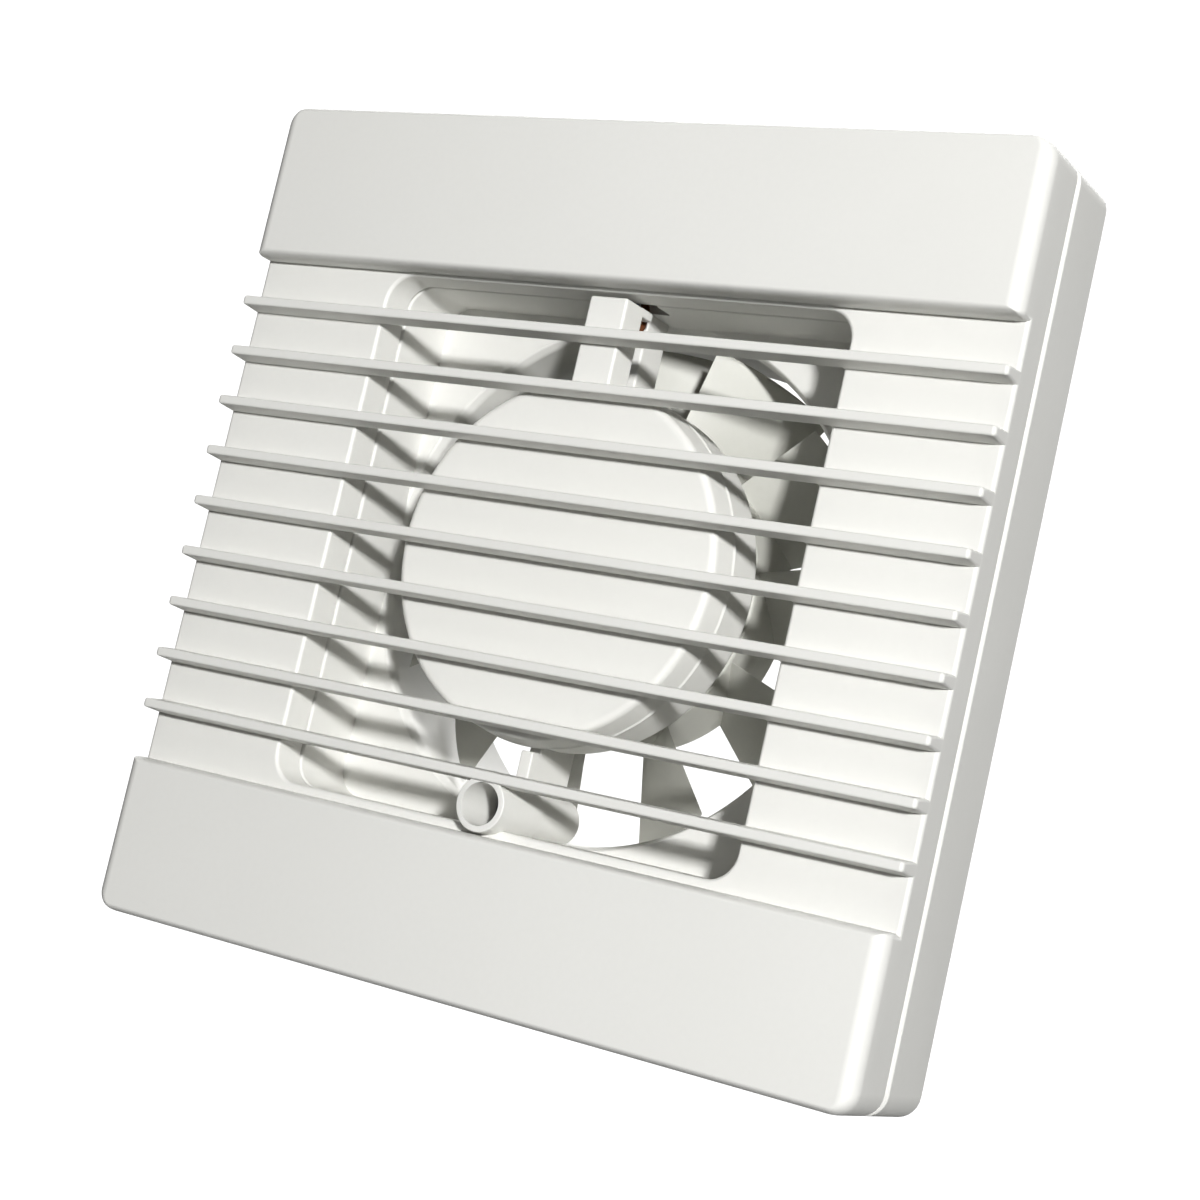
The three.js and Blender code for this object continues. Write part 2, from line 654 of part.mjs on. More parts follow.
place('front_cover', 'casing', frontCover());
place('cover_screw', 'steel', screw([0, BOSS_Z], [10.4, BOSS_FLOOR - GAP], 3, COVER_SHANK_R, 25));
place('base_housing', 'casing', baseHousing());
place('motor_cover', 'casing', motorCover());

place('stator_core', 'laminations', statorCore());
place('shading_ring_left', 'copper', shadingRing(-1));
place('shading_ring_right', 'copper', shadingRing(1));
place('coil_bobbin', 'bobbin', coilBobbin());
place('coil_winding', 'copper', coilWinding());
place('thermal_cutout', 'bobbin', thermalCutout());
place('front_bearing_bracket', 'steel', bearingBracket([10.5, 11.5], [8, 9], [7.6, 10]));
place('rear_bearing_bracket', 'steel', bearingBracket([20.1, 21.1], [22.2, 23.2], [21.9, 25.2]));
for (const [end, bush, felt] of [['front', [7.5, 9.6], [7.8, 9.7]], ['rear', [22, 25.4], [22.2, 25]]]) {
  place(`${end}_bush`, 'bronze', ring(SHAFT_R + GAP, BUSH_R, bush));
  place(`${end}_felt`, 'felt', ring(BUSH_R + GAP, FELT_R, felt));
}
for (const [side, sign] of [['left', -1], ['right', 1]]) {
  place(`motor_screw_${side}`, 'steel', screw([sign * MOTOR_SCREW_X, 0], [8.6, 10.2], 2.7, SHANK_R, 24.6));
}

place('rotor_core', 'laminations', ring(SHAFT_R + GAP, ROTOR_R, [12.2, 19.4], MIDDLE));
place('rotor_ring_front', 'aluminium', ring(SHAFT_R + GAP, ROTOR_RING_R, [10.8, 11.9], MIDDLE));
place('rotor_ring_rear', 'aluminium', ring(SHAFT_R + GAP, ROTOR_RING_R, [19.7, 20.8], MIDDLE));
place('front_thrust_washer', 'bobbin', ring(SHAFT_R + GAP, 3.4, [9.9, 10.5]));
place('rear_thrust_washer', 'bobbin', ring(SHAFT_R + GAP, 3.4, [21.1, 21.7]));
place('motor_shaft', 'steel', bar(SHAFT_R, [7.6, 46.2]));
place('impeller', 'impeller', impeller());
place('impeller_clip', 'steel', ring(SHAFT_R + GAP, 4.6, [HUB_REACH[1] + GAP, HUB_REACH[1] + 1.3]));

place('terminal_block', 'terminal', terminalBlock());
place('terminal_fixing_screw', 'steel', screw(TERMINAL, [12.6, 14.2], 2.6, SHANK_R, 24.4));
for (const [way, offset] of Object.entries(TERMINAL_WAYS)) {
  const at = [TERMINAL[0] + offset, TERMINAL[1]];
  place(`terminal_insert_${way}`, 'brass', terminalInsert(offset));
  place(`terminal_screw_${way}`, 'steel', screw(at, [12.5, 14.1], 2, SHANK_R, 16));
}
place('cable_clamp', 'terminal', cableClamp());
for (const [side, sign] of [['left', -1], ['right', 1]]) {
  const at = [CLAMP[0] + sign * CLAMP_SCREW_X, CLAMP[1]];
  place(`clamp_screw_${side}`, 'steel', screw(at, [16.1, 17.7], 2.6, SHANK_R, 24.4));
}
place('cable_grommet', 'rubber', cableGrommet());
place('wire_live', 'brown', lead(1, TERMINAL_WAYS.live));
place('wire_neutral', 'blue', lead(-1, TERMINAL_WAYS.neutral));

export default fan;
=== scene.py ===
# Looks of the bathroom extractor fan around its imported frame. Shapes are modelled in millimetres,
# in the frame's own axes, with places along Y given as depths behind the casing's front plane.
import json
import math

import bmesh
import bpy
from mathutils import Matrix, Vector


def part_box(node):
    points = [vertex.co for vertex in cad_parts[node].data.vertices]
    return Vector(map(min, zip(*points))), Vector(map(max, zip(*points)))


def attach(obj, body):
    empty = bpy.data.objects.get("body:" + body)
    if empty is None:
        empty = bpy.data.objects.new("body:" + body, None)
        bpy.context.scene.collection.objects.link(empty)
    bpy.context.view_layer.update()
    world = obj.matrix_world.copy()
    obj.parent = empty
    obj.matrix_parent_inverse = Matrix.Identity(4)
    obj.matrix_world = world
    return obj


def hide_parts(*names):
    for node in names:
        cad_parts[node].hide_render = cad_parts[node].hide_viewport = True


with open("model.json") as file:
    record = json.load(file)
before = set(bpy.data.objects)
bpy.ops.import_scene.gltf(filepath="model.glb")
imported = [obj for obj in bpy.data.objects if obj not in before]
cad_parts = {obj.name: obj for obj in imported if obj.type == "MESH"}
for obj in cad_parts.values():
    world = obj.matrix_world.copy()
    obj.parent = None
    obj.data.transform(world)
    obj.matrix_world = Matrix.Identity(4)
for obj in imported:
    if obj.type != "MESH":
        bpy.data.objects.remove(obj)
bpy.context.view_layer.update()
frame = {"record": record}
MM = 0.001

# ---- Driving dimensions, from the frame ----


def limits(node):
    """A CAD node's lowest and highest corners, in millimetres."""
    low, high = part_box(node)
    return low / MM, high / MM


COVER_LOW, COVER_HIGH = limits("front_cover")
BASE_LOW, BASE_HIGH = limits("base_housing")
FAN_LOW, FAN_HIGH = limits("impeller")
SHAFT_LOW, SHAFT_HIGH = limits("motor_shaft")

FRONT = COVER_LOW.y              # the casing's front plane
HALF = COVER_HIGH.x
CASING = -FRONT                  # depth of the wall plane
GAP = 0.3
SEAM = BASE_LOW.y - FRONT - GAP  # depth of the joint between cover and base
SPIGOT_END = BASE_HIGH.y - FRONT
SHAFT_R = SHAFT_HIGH.x
BORE_R = SHAFT_R + GAP
HOLE_R = 1.5                     # holes that the small screws pass through

# Casing and grille
CORNER = 4
SHEET = 2
RECESS_TOP = HALF - 29
RECESS_BOTTOM = 28 - HALF
SIDE_EDGE = 2.8                  # rounding of the bands' upright front edges
LEVEL_EDGE = 1.2                 # rounding of the bands' level front edges
PLATE = 4.8                      # depth of the recessed plate
OPENING = 46.5                   # half the width of the square air opening
OPENING_CORNER = 5
FLANGE = 1.6                     # thickness of the wall round the air opening
SLATS = 9
SLAT_PITCH = 9.56
SLAT_FRONT = 0.4
SLAT_BACK = 4.4
BOSS_Z = -42.9                   # axis of the cover's fixing screw
BOSS_R = 4.7
BOSS_FLOOR = 12.6
LUG_X = 44

# Base
POST_FRONT = 14.3                # front of the post behind the cover's screw boss
FLOOR = CASING - 2.2
DUCT_R = 46.5
SPIGOT_R = 49
WALL_SCREW = 62
HOUSING_R = 31.3
HOUSING_WALL = 1.6
HOUSING_SHOULDER = 20
HOUSING_MOUTH_R = 13
HOUSING_BACK = 25.2
HOUSING_BACK_R = 28.5
ARM_HALF = 1.2
POST_BACK = 27

# Motor cover
CAP_FRONT = 5.5
CAP_R = 30.9
CAP_WALL = 1.5
STRUT_HALF = 3.8
STRUT_BACK = 11

# Motor
STACK = (11.8, 19.8)
STACK_MIDDLE = sum(STACK) / 2
COIL_BAR = (-21, -14)
COIL_MIDDLE = sum(COIL_BAR) / 2
COIL_HALF = 10.5
MOTOR_SCREW_X = 14.5

# Impeller
BLADES = 11
FIRST_BLADE = -66.3
HUB_R = 28.2
TIP_R = 45
HUB = (FAN_LOW.y - FRONT, FAN_HIGH.y - FRONT)
BLADE_WRAP = 25.3
BLADE_THICK = 1.4

# Terminals
TERMINAL = (27, 62)
TERMINAL_WAYS = {"live": 8, "neutral": -8}
CLAMP = (-12, 61)
CLAMP_SCREW_X = 8.5
INLET = (-34, 61)
INLET_R = 5.4

# Screws: the head's front and back, its radius, the shank's radius and the tip's depth
COVER_SCREW = ((10.4, BOSS_FLOOR - GAP), 3, 1.5, 25)
MOTOR_SCREW = ((8.6, 10.2), 2.7, 1.2, 24.6)
TERMINAL_FIXING_SCREW = ((12.6, 14.2), 2.6, 1.2, 24.4)
TERMINAL_SCREW = ((12.5, 14.1), 2, 1.2, 16)
CLAMP_SCREW = ((16.1, 17.7), 2.6, 1.2, 24.4)

# Posts inside the base: place, radius, front and back, then the hole's radius, start and end
POSTS = (
    ((-MOTOR_SCREW_X, 0), 3.2, (21.4, HOUSING_BACK + 0.6), HOLE_R, (20, HOUSING_BACK + 1)),
    ((MOTOR_SCREW_X, 0), 3.2, (21.4, HOUSING_BACK + 0.6), HOLE_R, (20, HOUSING_BACK + 1)),
    ((0, BOSS_Z), 4.2, (POST_FRONT, POST_BACK), 1.8, (POST_FRONT - 1, POST_BACK + 1)),
    ((CLAMP[0] - CLAMP_SCREW_X, CLAMP[1]), 2.6, (20.6, FLOOR + 0.5), HOLE_R, (19, FLOOR + 0.9)),
    ((CLAMP[0] + CLAMP_SCREW_X, CLAMP[1]), 2.6, (20.6, FLOOR + 0.5), HOLE_R, (19, FLOOR + 0.9)),
    (TERMINAL, 2.6, (22, FLOOR + 0.5), HOLE_R, (21, FLOOR + 0.9)),
)

# The camera stands at the photograph's viewpoint: to the right, a little low, and rolled.
CAMERA_AT = (0.2107, -0.3440, -0.0437)
CAMERA_AZIMUTH = 31.71
CAMERA_RISE = 5.71
CAMERA_ROLL = 12.85
CAMERA_LENS = 69.14

# Lights: place and size in metres, power in watts. The small key throws the slats' shadows.
KEY_LIGHT = ((0.69, -0.85, 0.15), 0.07, 12)
FRONT_FILL = ((0.3, -1.2, 0.9), 1.2, 0.8)
BACK_LIGHT = ((-0.3, 0.9, 1.3), 1.2, 30)

# Studio: the floor's half width and height in metres, and its glow
STUDIO_HALF = 3
STUDIO_LEVEL = -1.3
STUDIO_GLOW = 0.6

# World: what the camera sees, and the fill, which fades from the front (-Y) to the back (+Y)
BACKDROP = (0.99, 0.99, 0.99, 1)
FILL = (1, 1, 0.99, 1)
FILL_FADE = (("From Min", -0.5), ("From Max", 0.4), ("To Min", 0.09), ("To Max", 0.0))

# ---- Tools for shapes ----


def new_object(name, points, faces):
    mesh = bpy.data.meshes.new(name)
    mesh.from_pydata([tuple(p) for p in points], [], faces)
    made = bmesh.new()
    made.from_mesh(mesh)
    bmesh.ops.recalc_face_normals(made, faces=made.faces)
    made.to_mesh(mesh)
    made.free()
    obj = bpy.data.objects.new(name, mesh)
    bpy.context.scene.collection.objects.link(obj)
    return obj


def applied(obj):
    """Bakes an object's modifiers into its mesh."""
    graph = bpy.context.evaluated_depsgraph_get()
    mesh = bpy.data.meshes.new_from_object(obj.evaluated_get(graph))
    old = obj.data
    obj.modifiers.clear()
    obj.data = mesh
    bpy.data.meshes.remove(old)
    return obj


def combined(base, tools, operation):
    for tool in tools:
        modifier = base.modifiers.new("combine", "BOOLEAN")
        modifier.solver = "MANIFOLD"
        modifier.operation = operation
        modifier.object = tool
        applied(base)
        mesh = tool.data
        bpy.data.objects.remove(tool)
        bpy.data.meshes.remove(mesh)
    return base


def joined(base, *tools):
    return combined(base, tools, "UNION")


def cut(base, *tools):
    return combined(base, tools, "DIFFERENCE")


def bevelled(obj, width, segments=3, angle=40):
    modifier = obj.modifiers.new("bevel", "BEVEL")
    modifier.width = width
    modifier.segments = segments
    modifier.limit_method = "ANGLE"
    modifier.angle_limit = math.radians(angle)
    return applied(obj)


def block(x, depth, z, bevel=0.0):
    """A box between X limits, depths and Z limits, with rounded edges where bevel is given."""
    (x0, x1), (d0, d1), (z0, z1) = sorted(x), sorted(depth), sorted(z)
    points = [(a, FRONT + b, c) for a in (x0, x1) for b in (d0, d1) for c in (z0, z1)]
    faces = [(0, 1, 3, 2), (4, 6, 7, 5), (0, 4, 5, 1), (2, 3, 7, 6), (0, 2, 6, 4), (1, 5, 7, 3)]
    obj = new_object("block", points, faces)
    return bevelled(obj, bevel) if bevel else obj


def stacked(loops, name="stack"):
    """A closed skin over loops of points that all have the same number of points."""
    count = len(loops[0])
    faces = []
    for i in range(len(loops) - 1):
        for j in range(count):
            k = (j + 1) % count
            faces.append((i * count + j, i * count + k, (i + 1) * count + k, (i + 1) * count + j))
    last = (len(loops) - 1) * count
    faces.append(tuple(range(count)))
    faces.append(tuple(range(last, last + count)))
    return new_object(name, [p for loop in loops for p in loop], faces)


def rounded_loop(x, z, radii, steps=7):
    """A rounded rectangle's outline as (x, z) points. radii are the lower and the upper corners' radii."""
    (x0, x1), (z0, z1) = x, z
    low, high = radii
    corners = (
        (x1 - low, z0 + low, -90, low),
        (x1 - high, z1 - high, 0, high),
        (x0 + high, z1 - high, 90, high),
        (x0 + low, z0 + low, 180, low),
    )
    points = []
    for cx, cz, start, radius in corners:
        for i in range(steps + 1):
            turn = math.radians(start + 90 * i / steps)
            points.append((cx + radius * math.cos(turn), cz + radius * math.sin(turn)))
    return points


def pillow(x, z, front, back, radii, edges, steps=6):
    """A block with rounded corners and rounded front edges. edges are its upright and level edges' widths."""
    side, level = edges
    tall = min(max(side, level), back - front)
    loops = [[(px, FRONT + back, pz) for px, pz in rounded_loop(x, z, radii)]]
    for i in range(steps + 1):
        turn = math.pi / 2 * i / steps
        drop = 1 - math.cos(turn)
        dx, dz = side * drop, level * drop
        loop = rounded_loop(
            (x[0] + dx, x[1] - dx),
            (z[0] + dz, z[1] - dz),
            [max(r - max(dx, dz), 0.15) for r in radii],
        )
        depth = front + tall * (1 - math.sin(turn))
        loops.append([(px, FRONT + depth, pz) for px, pz in loop])
    return stacked(loops)


def rounded_corner(before, corner, after, radius, steps):
    a, b, c = Vector(before), Vector(corner), Vector(after)
    reach = min(radius, (a - b).length * 0.48, (c - b).length * 0.48)
    start = b + (a - b).normalized() * reach
    end = b + (c - b).normalized() * reach
    shares = [j / steps for j in range(steps + 1)]
    return [tuple(start * (1 - t) ** 2 + b * 2 * t * (1 - t) + end * t ** 2) for t in shares]


def softened(profile, radius, steps=4):
    """A profile whose corners are rounded, as far as its edges allow. Points on the axis stay as they are."""
    made = []
    for i, corner in enumerate(profile):
        if corner[0] < 1e-6:
            made.append(corner)
        else:
            made += rounded_corner(profile[i - 1], corner, profile[(i + 1) % len(profile)], radius, steps)
    return made


def lathe(profile, sides=96, centre=(0, 0), name="lathe"):
    """A body turned about the duct's direction from a closed profile of (radius, depth) points."""
    points, rings = [], []
    for radius, depth in profile:
        if radius < 1e-6:
            rings.append([len(points)])
            points.append((centre[0], FRONT + depth, centre[1]))
            continue
        rings.append(list(range(len(points), len(points) + sides)))
        for i in range(sides):
            turn = 2 * math.pi * i / sides
            points.append((
                centre[0] + radius * math.cos(turn),
                FRONT + depth,
                centre[1] + radius * math.sin(turn),
            ))
    faces = []
    for a, b in zip(rings, rings[1:] + rings[:1]):
        if len(a) == 1 and len(b) == 1:
            continue
        for i in range(sides):
            k = (i + 1) % sides
            if len(a) == 1:
                faces.append((a[0], b[i], b[k]))
            elif len(b) == 1:
                faces.append((a[i], a[k], b[0]))
            else:
                faces.append((a[i], a[k], b[k], b[i]))
    return new_object(name, points, faces)


def ring(inner, outer, depth, soft=0.15, sides=64, centre=(0, 0)):
    profile = [(inner, depth[0]), (outer, depth[0]), (outer, depth[1]), (inner, depth[1])]
    return lathe(softened(profile, soft, 3), sides, centre)


def rod(radius, depth, centre=(0, 0), soft=0.0, sides=48):
    profile = [(0, depth[0]), (radius, depth[0]), (radius, depth[1]), (0, depth[1])]
    return lathe(softened(profile, soft, 3) if soft else profile, sides, centre)


def turned_about_y(obj, angle):
    obj.data.transform(Matrix.Rotation(-math.radians(angle), 4, "Y"))
    return obj


def shaded(obj, angle=32):
    """Smooth shading, broken at edges sharper than the angle."""
    made = bmesh.new()
    made.from_mesh(obj.data)
    bmesh.ops.remove_doubles(made, verts=made.verts, dist=1e-5)
    bmesh.ops.dissolve_degenerate(made, edges=made.edges, dist=1e-5)
    for face in made.faces:
        face.smooth = True
    for edge in made.edges:
        edge.smooth = len(edge.link_faces) == 2 and edge.calc_face_angle(0) < math.radians(angle)
    made.to_mesh(obj.data)
    made.free()
    modifier = obj.modifiers.new("flat faces stay flat", "WEIGHTED_NORMAL")
    modifier.mode = "FACE_AREA"
    modifier.keep_sharp = True
    return obj


def finished(obj, node, material, angle=32):
    """Turns a shape into the piece that stands for one CAD node."""
    name = f"{node}_piece"
    obj.name = name
    obj.data.name = name
    obj.data.transform(Matrix.Scale(MM, 4))
    obj.data.materials.clear()
    obj.data.materials.append(material)
    shaded(obj, angle)
    body = next(b for b, nodes in frame["record"]["behaviour"]["bodies"].items() if node in nodes)
    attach(obj, body)
    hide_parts(node)
    return obj


# ---- Materials ----


class Nodes:
    """A small builder for one material's node tree."""

    def __init__(self, name):
        self.material = bpy.data.materials.new(name)
        self.material.use_nodes = True
        self.tree = self.material.node_tree
        self.shader = self.tree.nodes["Principled BSDF"]
        self.place = self.tree.nodes.new("ShaderNodeTexCoord").outputs["Object"]

    def link(self, output, target):
        self.tree.links.new(output, target)

    def stretched(self, scale):
        node = self.tree.nodes.new("ShaderNodeMapping")
        node.inputs["Scale"].default_value = scale
        self.link(self.place, node.inputs["Vector"])
        return node.outputs["Vector"]

    def noise(self, scale, detail=3.0, roughness=0.5, place=None):
        node = self.tree.nodes.new("ShaderNodeTexNoise")
        node.inputs["Scale"].default_value = scale
        node.inputs["Detail"].default_value = detail
        node.inputs["Roughness"].default_value = roughness
        self.link(place or self.place, node.inputs["Vector"])
        return node.outputs["Fac"]

    def cells(self, scale, place=None):
        node = self.tree.nodes.new("ShaderNodeTexVoronoi")
        node.inputs["Scale"].default_value = scale
        self.link(place or self.place, node.inputs["Vector"])
        return node.outputs["Distance"]

    def spread(self, value, low, high, start=0.3, end=0.7):
        node = self.tree.nodes.new("ShaderNodeMapRange")
        node.inputs["From Min"].default_value = start
        node.inputs["From Max"].default_value = end
        node.inputs["To Min"].default_value = low
        node.inputs["To Max"].default_value = high
        self.link(value, node.inputs["Value"])
        return node.outputs["Result"]

    def mixed(self, amount, first, second):
        node = self.tree.nodes.new("ShaderNodeMix")
        node.data_type = "RGBA"
        self.link(amount, node.inputs["Factor"])
        for socket, colour in ((node.inputs[6], first), (node.inputs[7], second)):
            if isinstance(colour, tuple):
                socket.default_value = (*colour, 1)
            else:
                self.link(colour, socket)
        return node.outputs[2]

    def bump(self, height, strength, distance):
        node = self.tree.nodes.new("ShaderNodeBump")
        node.inputs["Strength"].default_value = strength
        node.inputs["Distance"].default_value = distance
        previous = self.shader.inputs["Normal"].links
        if previous:
            self.link(previous[0].from_socket, node.inputs["Normal"])
        self.link(height, node.inputs["Height"])
        self.link(node.outputs["Normal"], self.shader.inputs["Normal"])

    def finish(self, colour, rough, metallic=0.0, **fixed):
        self.link(colour, self.shader.inputs["Base Color"])
        self.link(rough, self.shader.inputs["Roughness"])
        self.shader.inputs["Metallic"].default_value = metallic
        for name, value in fixed.items():
            self.shader.inputs[name.replace("_", " ")].default_value = value
        return self.material


def moulded_plastic(name, pale, deep, rough, grain=0.05):
    """Injection-moulded plastic: slow drifts of tone, fine pits, and a gloss that varies a little."""
    n = Nodes(name)
    drift = n.spread(n.noise(14, 2.0), 0, 1)
    speck = n.spread(n.noise(900, 3.0), 0, 1, 0.35, 0.75)
    tone = n.mixed(drift, pale, deep)
    tint = tuple(c * 0.97 for c in deep)
    colour = n.mixed(n.spread(speck, 0, 0.25, 0, 1), tone, tint)
    gloss = n.spread(n.noise(55, 4.0, 0.6), rough - 0.05, rough + 0.06)
    n.bump(n.noise(2600, 2.0), grain, 0.0001)
    n.bump(n.noise(120, 3.0), grain * 0.7, 0.0003)
    return n.finish(colour, gloss, IOR=1.53)


def plated_steel(name, bright, dull, rough):
    """Rolled or turned steel: streaks along X, faint blotches of plating, small scratches."""
    n = Nodes(name)
    streak = n.noise(60, 4.0, 0.6, n.stretched((1, 18, 18)))
    blotch = n.spread(n.noise(160, 3.0), 0, 1)
    colour = n.mixed(blotch, bright, dull)
    gloss = n.spread(streak, rough - 0.08, rough + 0.12)
    n.bump(streak, 0.08, 0.00015)
    return n.finish(colour, gloss, 1.0)


def lamination_steel():
    """Stacked sheets seen on edge: thin dark lines between sheets, and a blued, oily surface."""
    n = Nodes("lamination_steel")
    wave = n.tree.nodes.new("ShaderNodeTexWave")
    wave.bands_direction = "Y"
    wave.inputs["Scale"].default_value = 620
    wave.inputs["Distortion"].default_value = 0.4
    n.link(n.place, wave.inputs["Vector"])
    edge = n.spread(wave.outputs["Fac"], 0, 1, 0.1, 0.6)
    blue = n.mixed(n.spread(n.noise(90), 0, 1), (0.20, 0.21, 0.24), (0.32, 0.31, 0.30))
    colour = n.mixed(edge, (0.07, 0.065, 0.06), blue)
    n.bump(wave.outputs["Fac"], 0.3, 0.0001)
    return n.finish(colour, n.spread(n.noise(200), 0.35, 0.6), 1.0)


def enamelled_copper():
    n = Nodes("enamelled_copper")
    colour = n.mixed(n.spread(n.noise(240, 3.0), 0, 1), (0.62, 0.24, 0.09), (0.42, 0.13, 0.05))
    n.bump(n.noise(700), 0.1, 0.0001)
    return n.finish(colour, n.spread(n.noise(300), 0.2, 0.42), 0.85, Coat_Weight=0.6, Coat_Roughness=0.15)


def sintered_bronze():
    """Pressed powder metal: fine open pores and dark oil stains."""
    n = Nodes("sintered_bronze")
    pores = n.cells(2600)
    stain = n.spread(n.noise(180, 4.0), 0, 1)
    colour = n.mixed(stain, (0.50, 0.33, 0.15), (0.30, 0.20, 0.10))
    n.bump(pores, 0.3, 0.00012)
    return n.finish(colour, n.spread(pores, 0.65, 0.4, 0, 0.5), 0.9)


def machined_brass():
    n = Nodes("machined_brass")
    lines = n.noise(80, 3.0, 0.5, n.stretched((14, 14, 1)))
    colour = n.mixed(n.spread(n.noise(140), 0, 1), (0.75, 0.55, 0.22), (0.60, 0.42, 0.15))
    n.bump(lines, 0.1, 0.0001)
    return n.finish(colour, n.spread(lines, 0.22, 0.4), 1.0)


def cast_aluminium():
    n = Nodes("cast_aluminium")
    colour = n.mixed(n.spread(n.noise(220, 4.0), 0, 1), (0.66, 0.67, 0.68), (0.50, 0.51, 0.53))
    n.bump(n.noise(900, 4.0), 0.2, 0.00015)
    return n.finish(colour, n.spread(n.noise(320), 0.38, 0.6), 1.0)


def oiled_felt():
    """Pressed wool: matted fibres, soaked darker in patches."""
    n = Nodes("oiled_felt")
    fibre = n.noise(1500, 6.0, 0.8, n.stretched((1, 3, 1)))
    colour = n.mixed(n.spread(n.noise(260, 3.0), 0, 1), (0.60, 0.53, 0.36), (0.38, 0.31, 0.17))
    n.bump(fibre, 0.8, 0.0004)
    return n.finish(colour, n.spread(fibre, 0.85, 1.0), 0.0, Sheen_Weight=0.3)


def soft_rubber():
    n = Nodes("soft_rubber")
    bloom = n.spread(n.noise(120, 4.0), 0, 1, 0.4, 0.8)
    colour = n.mixed(bloom, (0.018, 0.018, 0.019), (0.05, 0.05, 0.05))
    n.bump(n.noise(1400, 3.0), 0.15, 0.0001)
    return n.finish(colour, n.spread(bloom, 0.6, 0.8, 0, 1), 0.0)


def wire_sleeve(name, pale, deep):
    """Extruded PVC: very smooth, with faint long ripples."""
    n = Nodes(name)
    colour = n.mixed(n.spread(n.noise(300, 2.0), 0, 1), pale, deep)
    n.bump(n.noise(900, 2.0), 0.06, 0.0001)
    return n.finish(colour, n.spread(n.noise(500), 0.28, 0.42), 0.0)


MATERIALS = {
    "casing": moulded_plastic("casing_plastic", (0.765, 0.763, 0.735), (0.745, 0.742, 0.712), 0.5),
    # The impeller is the same off-white plastic as the casing: its grey colour is painted shade, for the dark
    # inside of the duct.
    "impeller": moulded_plastic("impeller_plastic_painted_shade", (0.56, 0.56, 0.52), (0.50, 0.50, 0.46), 0.5),
    "steel": plated_steel("plated_steel", (0.66, 0.67, 0.68), (0.52, 0.53, 0.55), 0.3),
    "laminations": lamination_steel(),
    "copper": enamelled_copper(),
    "bronze": sintered_bronze(),
    "brass": machined_brass(),
    "aluminium": cast_aluminium(),
    "bobbin": moulded_plastic("black_nylon", (0.030, 0.030, 0.033), (0.018, 0.018, 0.020), 0.5, 0.12),
    "felt": oiled_felt(),
    "terminal": moulded_plastic("terminal_plastic", (0.84, 0.83, 0.76), (0.80, 0.79, 0.71), 0.45),
    "rubber": soft_rubber(),
    "brown": wire_sleeve("brown_sleeve", (0.19, 0.075, 0.03), (0.14, 0.052, 0.02)),
    "blue": wire_sleeve("blue_sleeve", (0.03, 0.12, 0.42), (0.02, 0.085, 0.32)),
}

# ---- Front cover ----


def slat_section(narrow):
    """A blunt wedge as (depth, height) points. narrow takes the slat's ends in, to round them."""
    nose, root, foot, soft = 0.85 - 0.6 * narrow, 1.25 - 0.6 * narrow, PLATE + 0.5, 0.4
    front = SLAT_FRONT + narrow
    rounding = [(soft * (1 - math.sin(t)), soft * (1 - math.cos(t))) for t in arc_steps(4)[1:]]
    section = [(foot, root), (foot, -root), (front + soft, -nose)]
    section += [(front + d, h - nose) for d, h in rounding]
    section += [(d, -h) for d, h in reversed(section[2:])]
    return section


def slat(z):
    """A slat with rounded ends, which runs across the whole face and is open behind at the opening."""
    end_round = 0.7
    left = [(-HALF + end_round * (1 - math.cos(t)), 1 - math.sin(t)) for t in arc_steps(4)]
    stations = left + [(-x, shrink) for x, shrink in reversed(left)]
    loops = []
    for x, shrink in stations:
        loops.append([(x, FRONT + d, z + h) for d, h in slat_section(end_round * shrink)])
    back = block((-OPENING, OPENING), (SLAT_BACK, PLATE + 1.5), (z - 3, z + 3))
    return cut(stacked(loops), back)


def arc_steps(count):
    return [math.pi / 2 * i / count for i in range(count + 1)]


def cover_body():
    behind = SEAM
    square = (-HALF, HALF)
    low = pillow(square, square, PLATE, behind, (CORNER, CORNER), (0.8, 0.8))
    top = pillow(square, (RECESS_TOP, HALF), 0, 6.4, (1.0, CORNER), (SIDE_EDGE, LEVEL_EDGE))
    bottom = pillow(square, (-HALF, RECESS_BOTTOM), 0, 6.4, (CORNER, 1.0), (SIDE_EDGE, LEVEL_EDGE))
    return joined(low, top, bottom)


def cover_hollows():
    inner = HALF - SHEET
    back = SEAM + 1
    return [
        block((-inner, inner), (SHEET, back), (RECESS_TOP + SHEET, inner), 0.6),
        block((-inner, inner), (SHEET, back), (-inner, RECESS_BOTTOM - SHEET), 0.6),
        block((-inner, inner), (PLATE + SHEET, back), (-inner, inner), 0.6),
    ]


def opening_loop(grow, depth):
    side = (-OPENING - grow, OPENING + grow)
    outline = rounded_loop(side, side, (OPENING_CORNER + grow, OPENING_CORNER + grow))
    return [(x, FRONT + depth, z) for x, z in outline]


def air_opening():
    """The opening's cutter flares at the plate, so that the opening's front edge is rounded."""
    edge = 0.7
    loops = [opening_loop(edge, PLATE - 1)]
    loops += [opening_loop(edge * (1 - math.sin(t)), PLATE + edge * (1 - math.cos(t))) for t in arc_steps(5)]
    loops.append(opening_loop(0, SEAM + 1))
    return stacked(loops)


def cover_lug(x, wall):
    inward = -math.copysign(1, wall)
    near, far = wall + inward * 1.1, wall + inward * 2.7
    tall = block((x - 6, x + 6), (1, SEAM + 5), (near, far), 0.35)
    return joined(tall, block((x - 6, x + 6), (1, SEAM - 2), (wall - inward * 0.5, far)))


def screw_boss():
    back = POST_FRONT - GAP
    return lathe(softened([(0, 1.2), (BOSS_R, 1.2), (BOSS_R, back), (0, back)], 0.25), 48, (0, BOSS_Z))


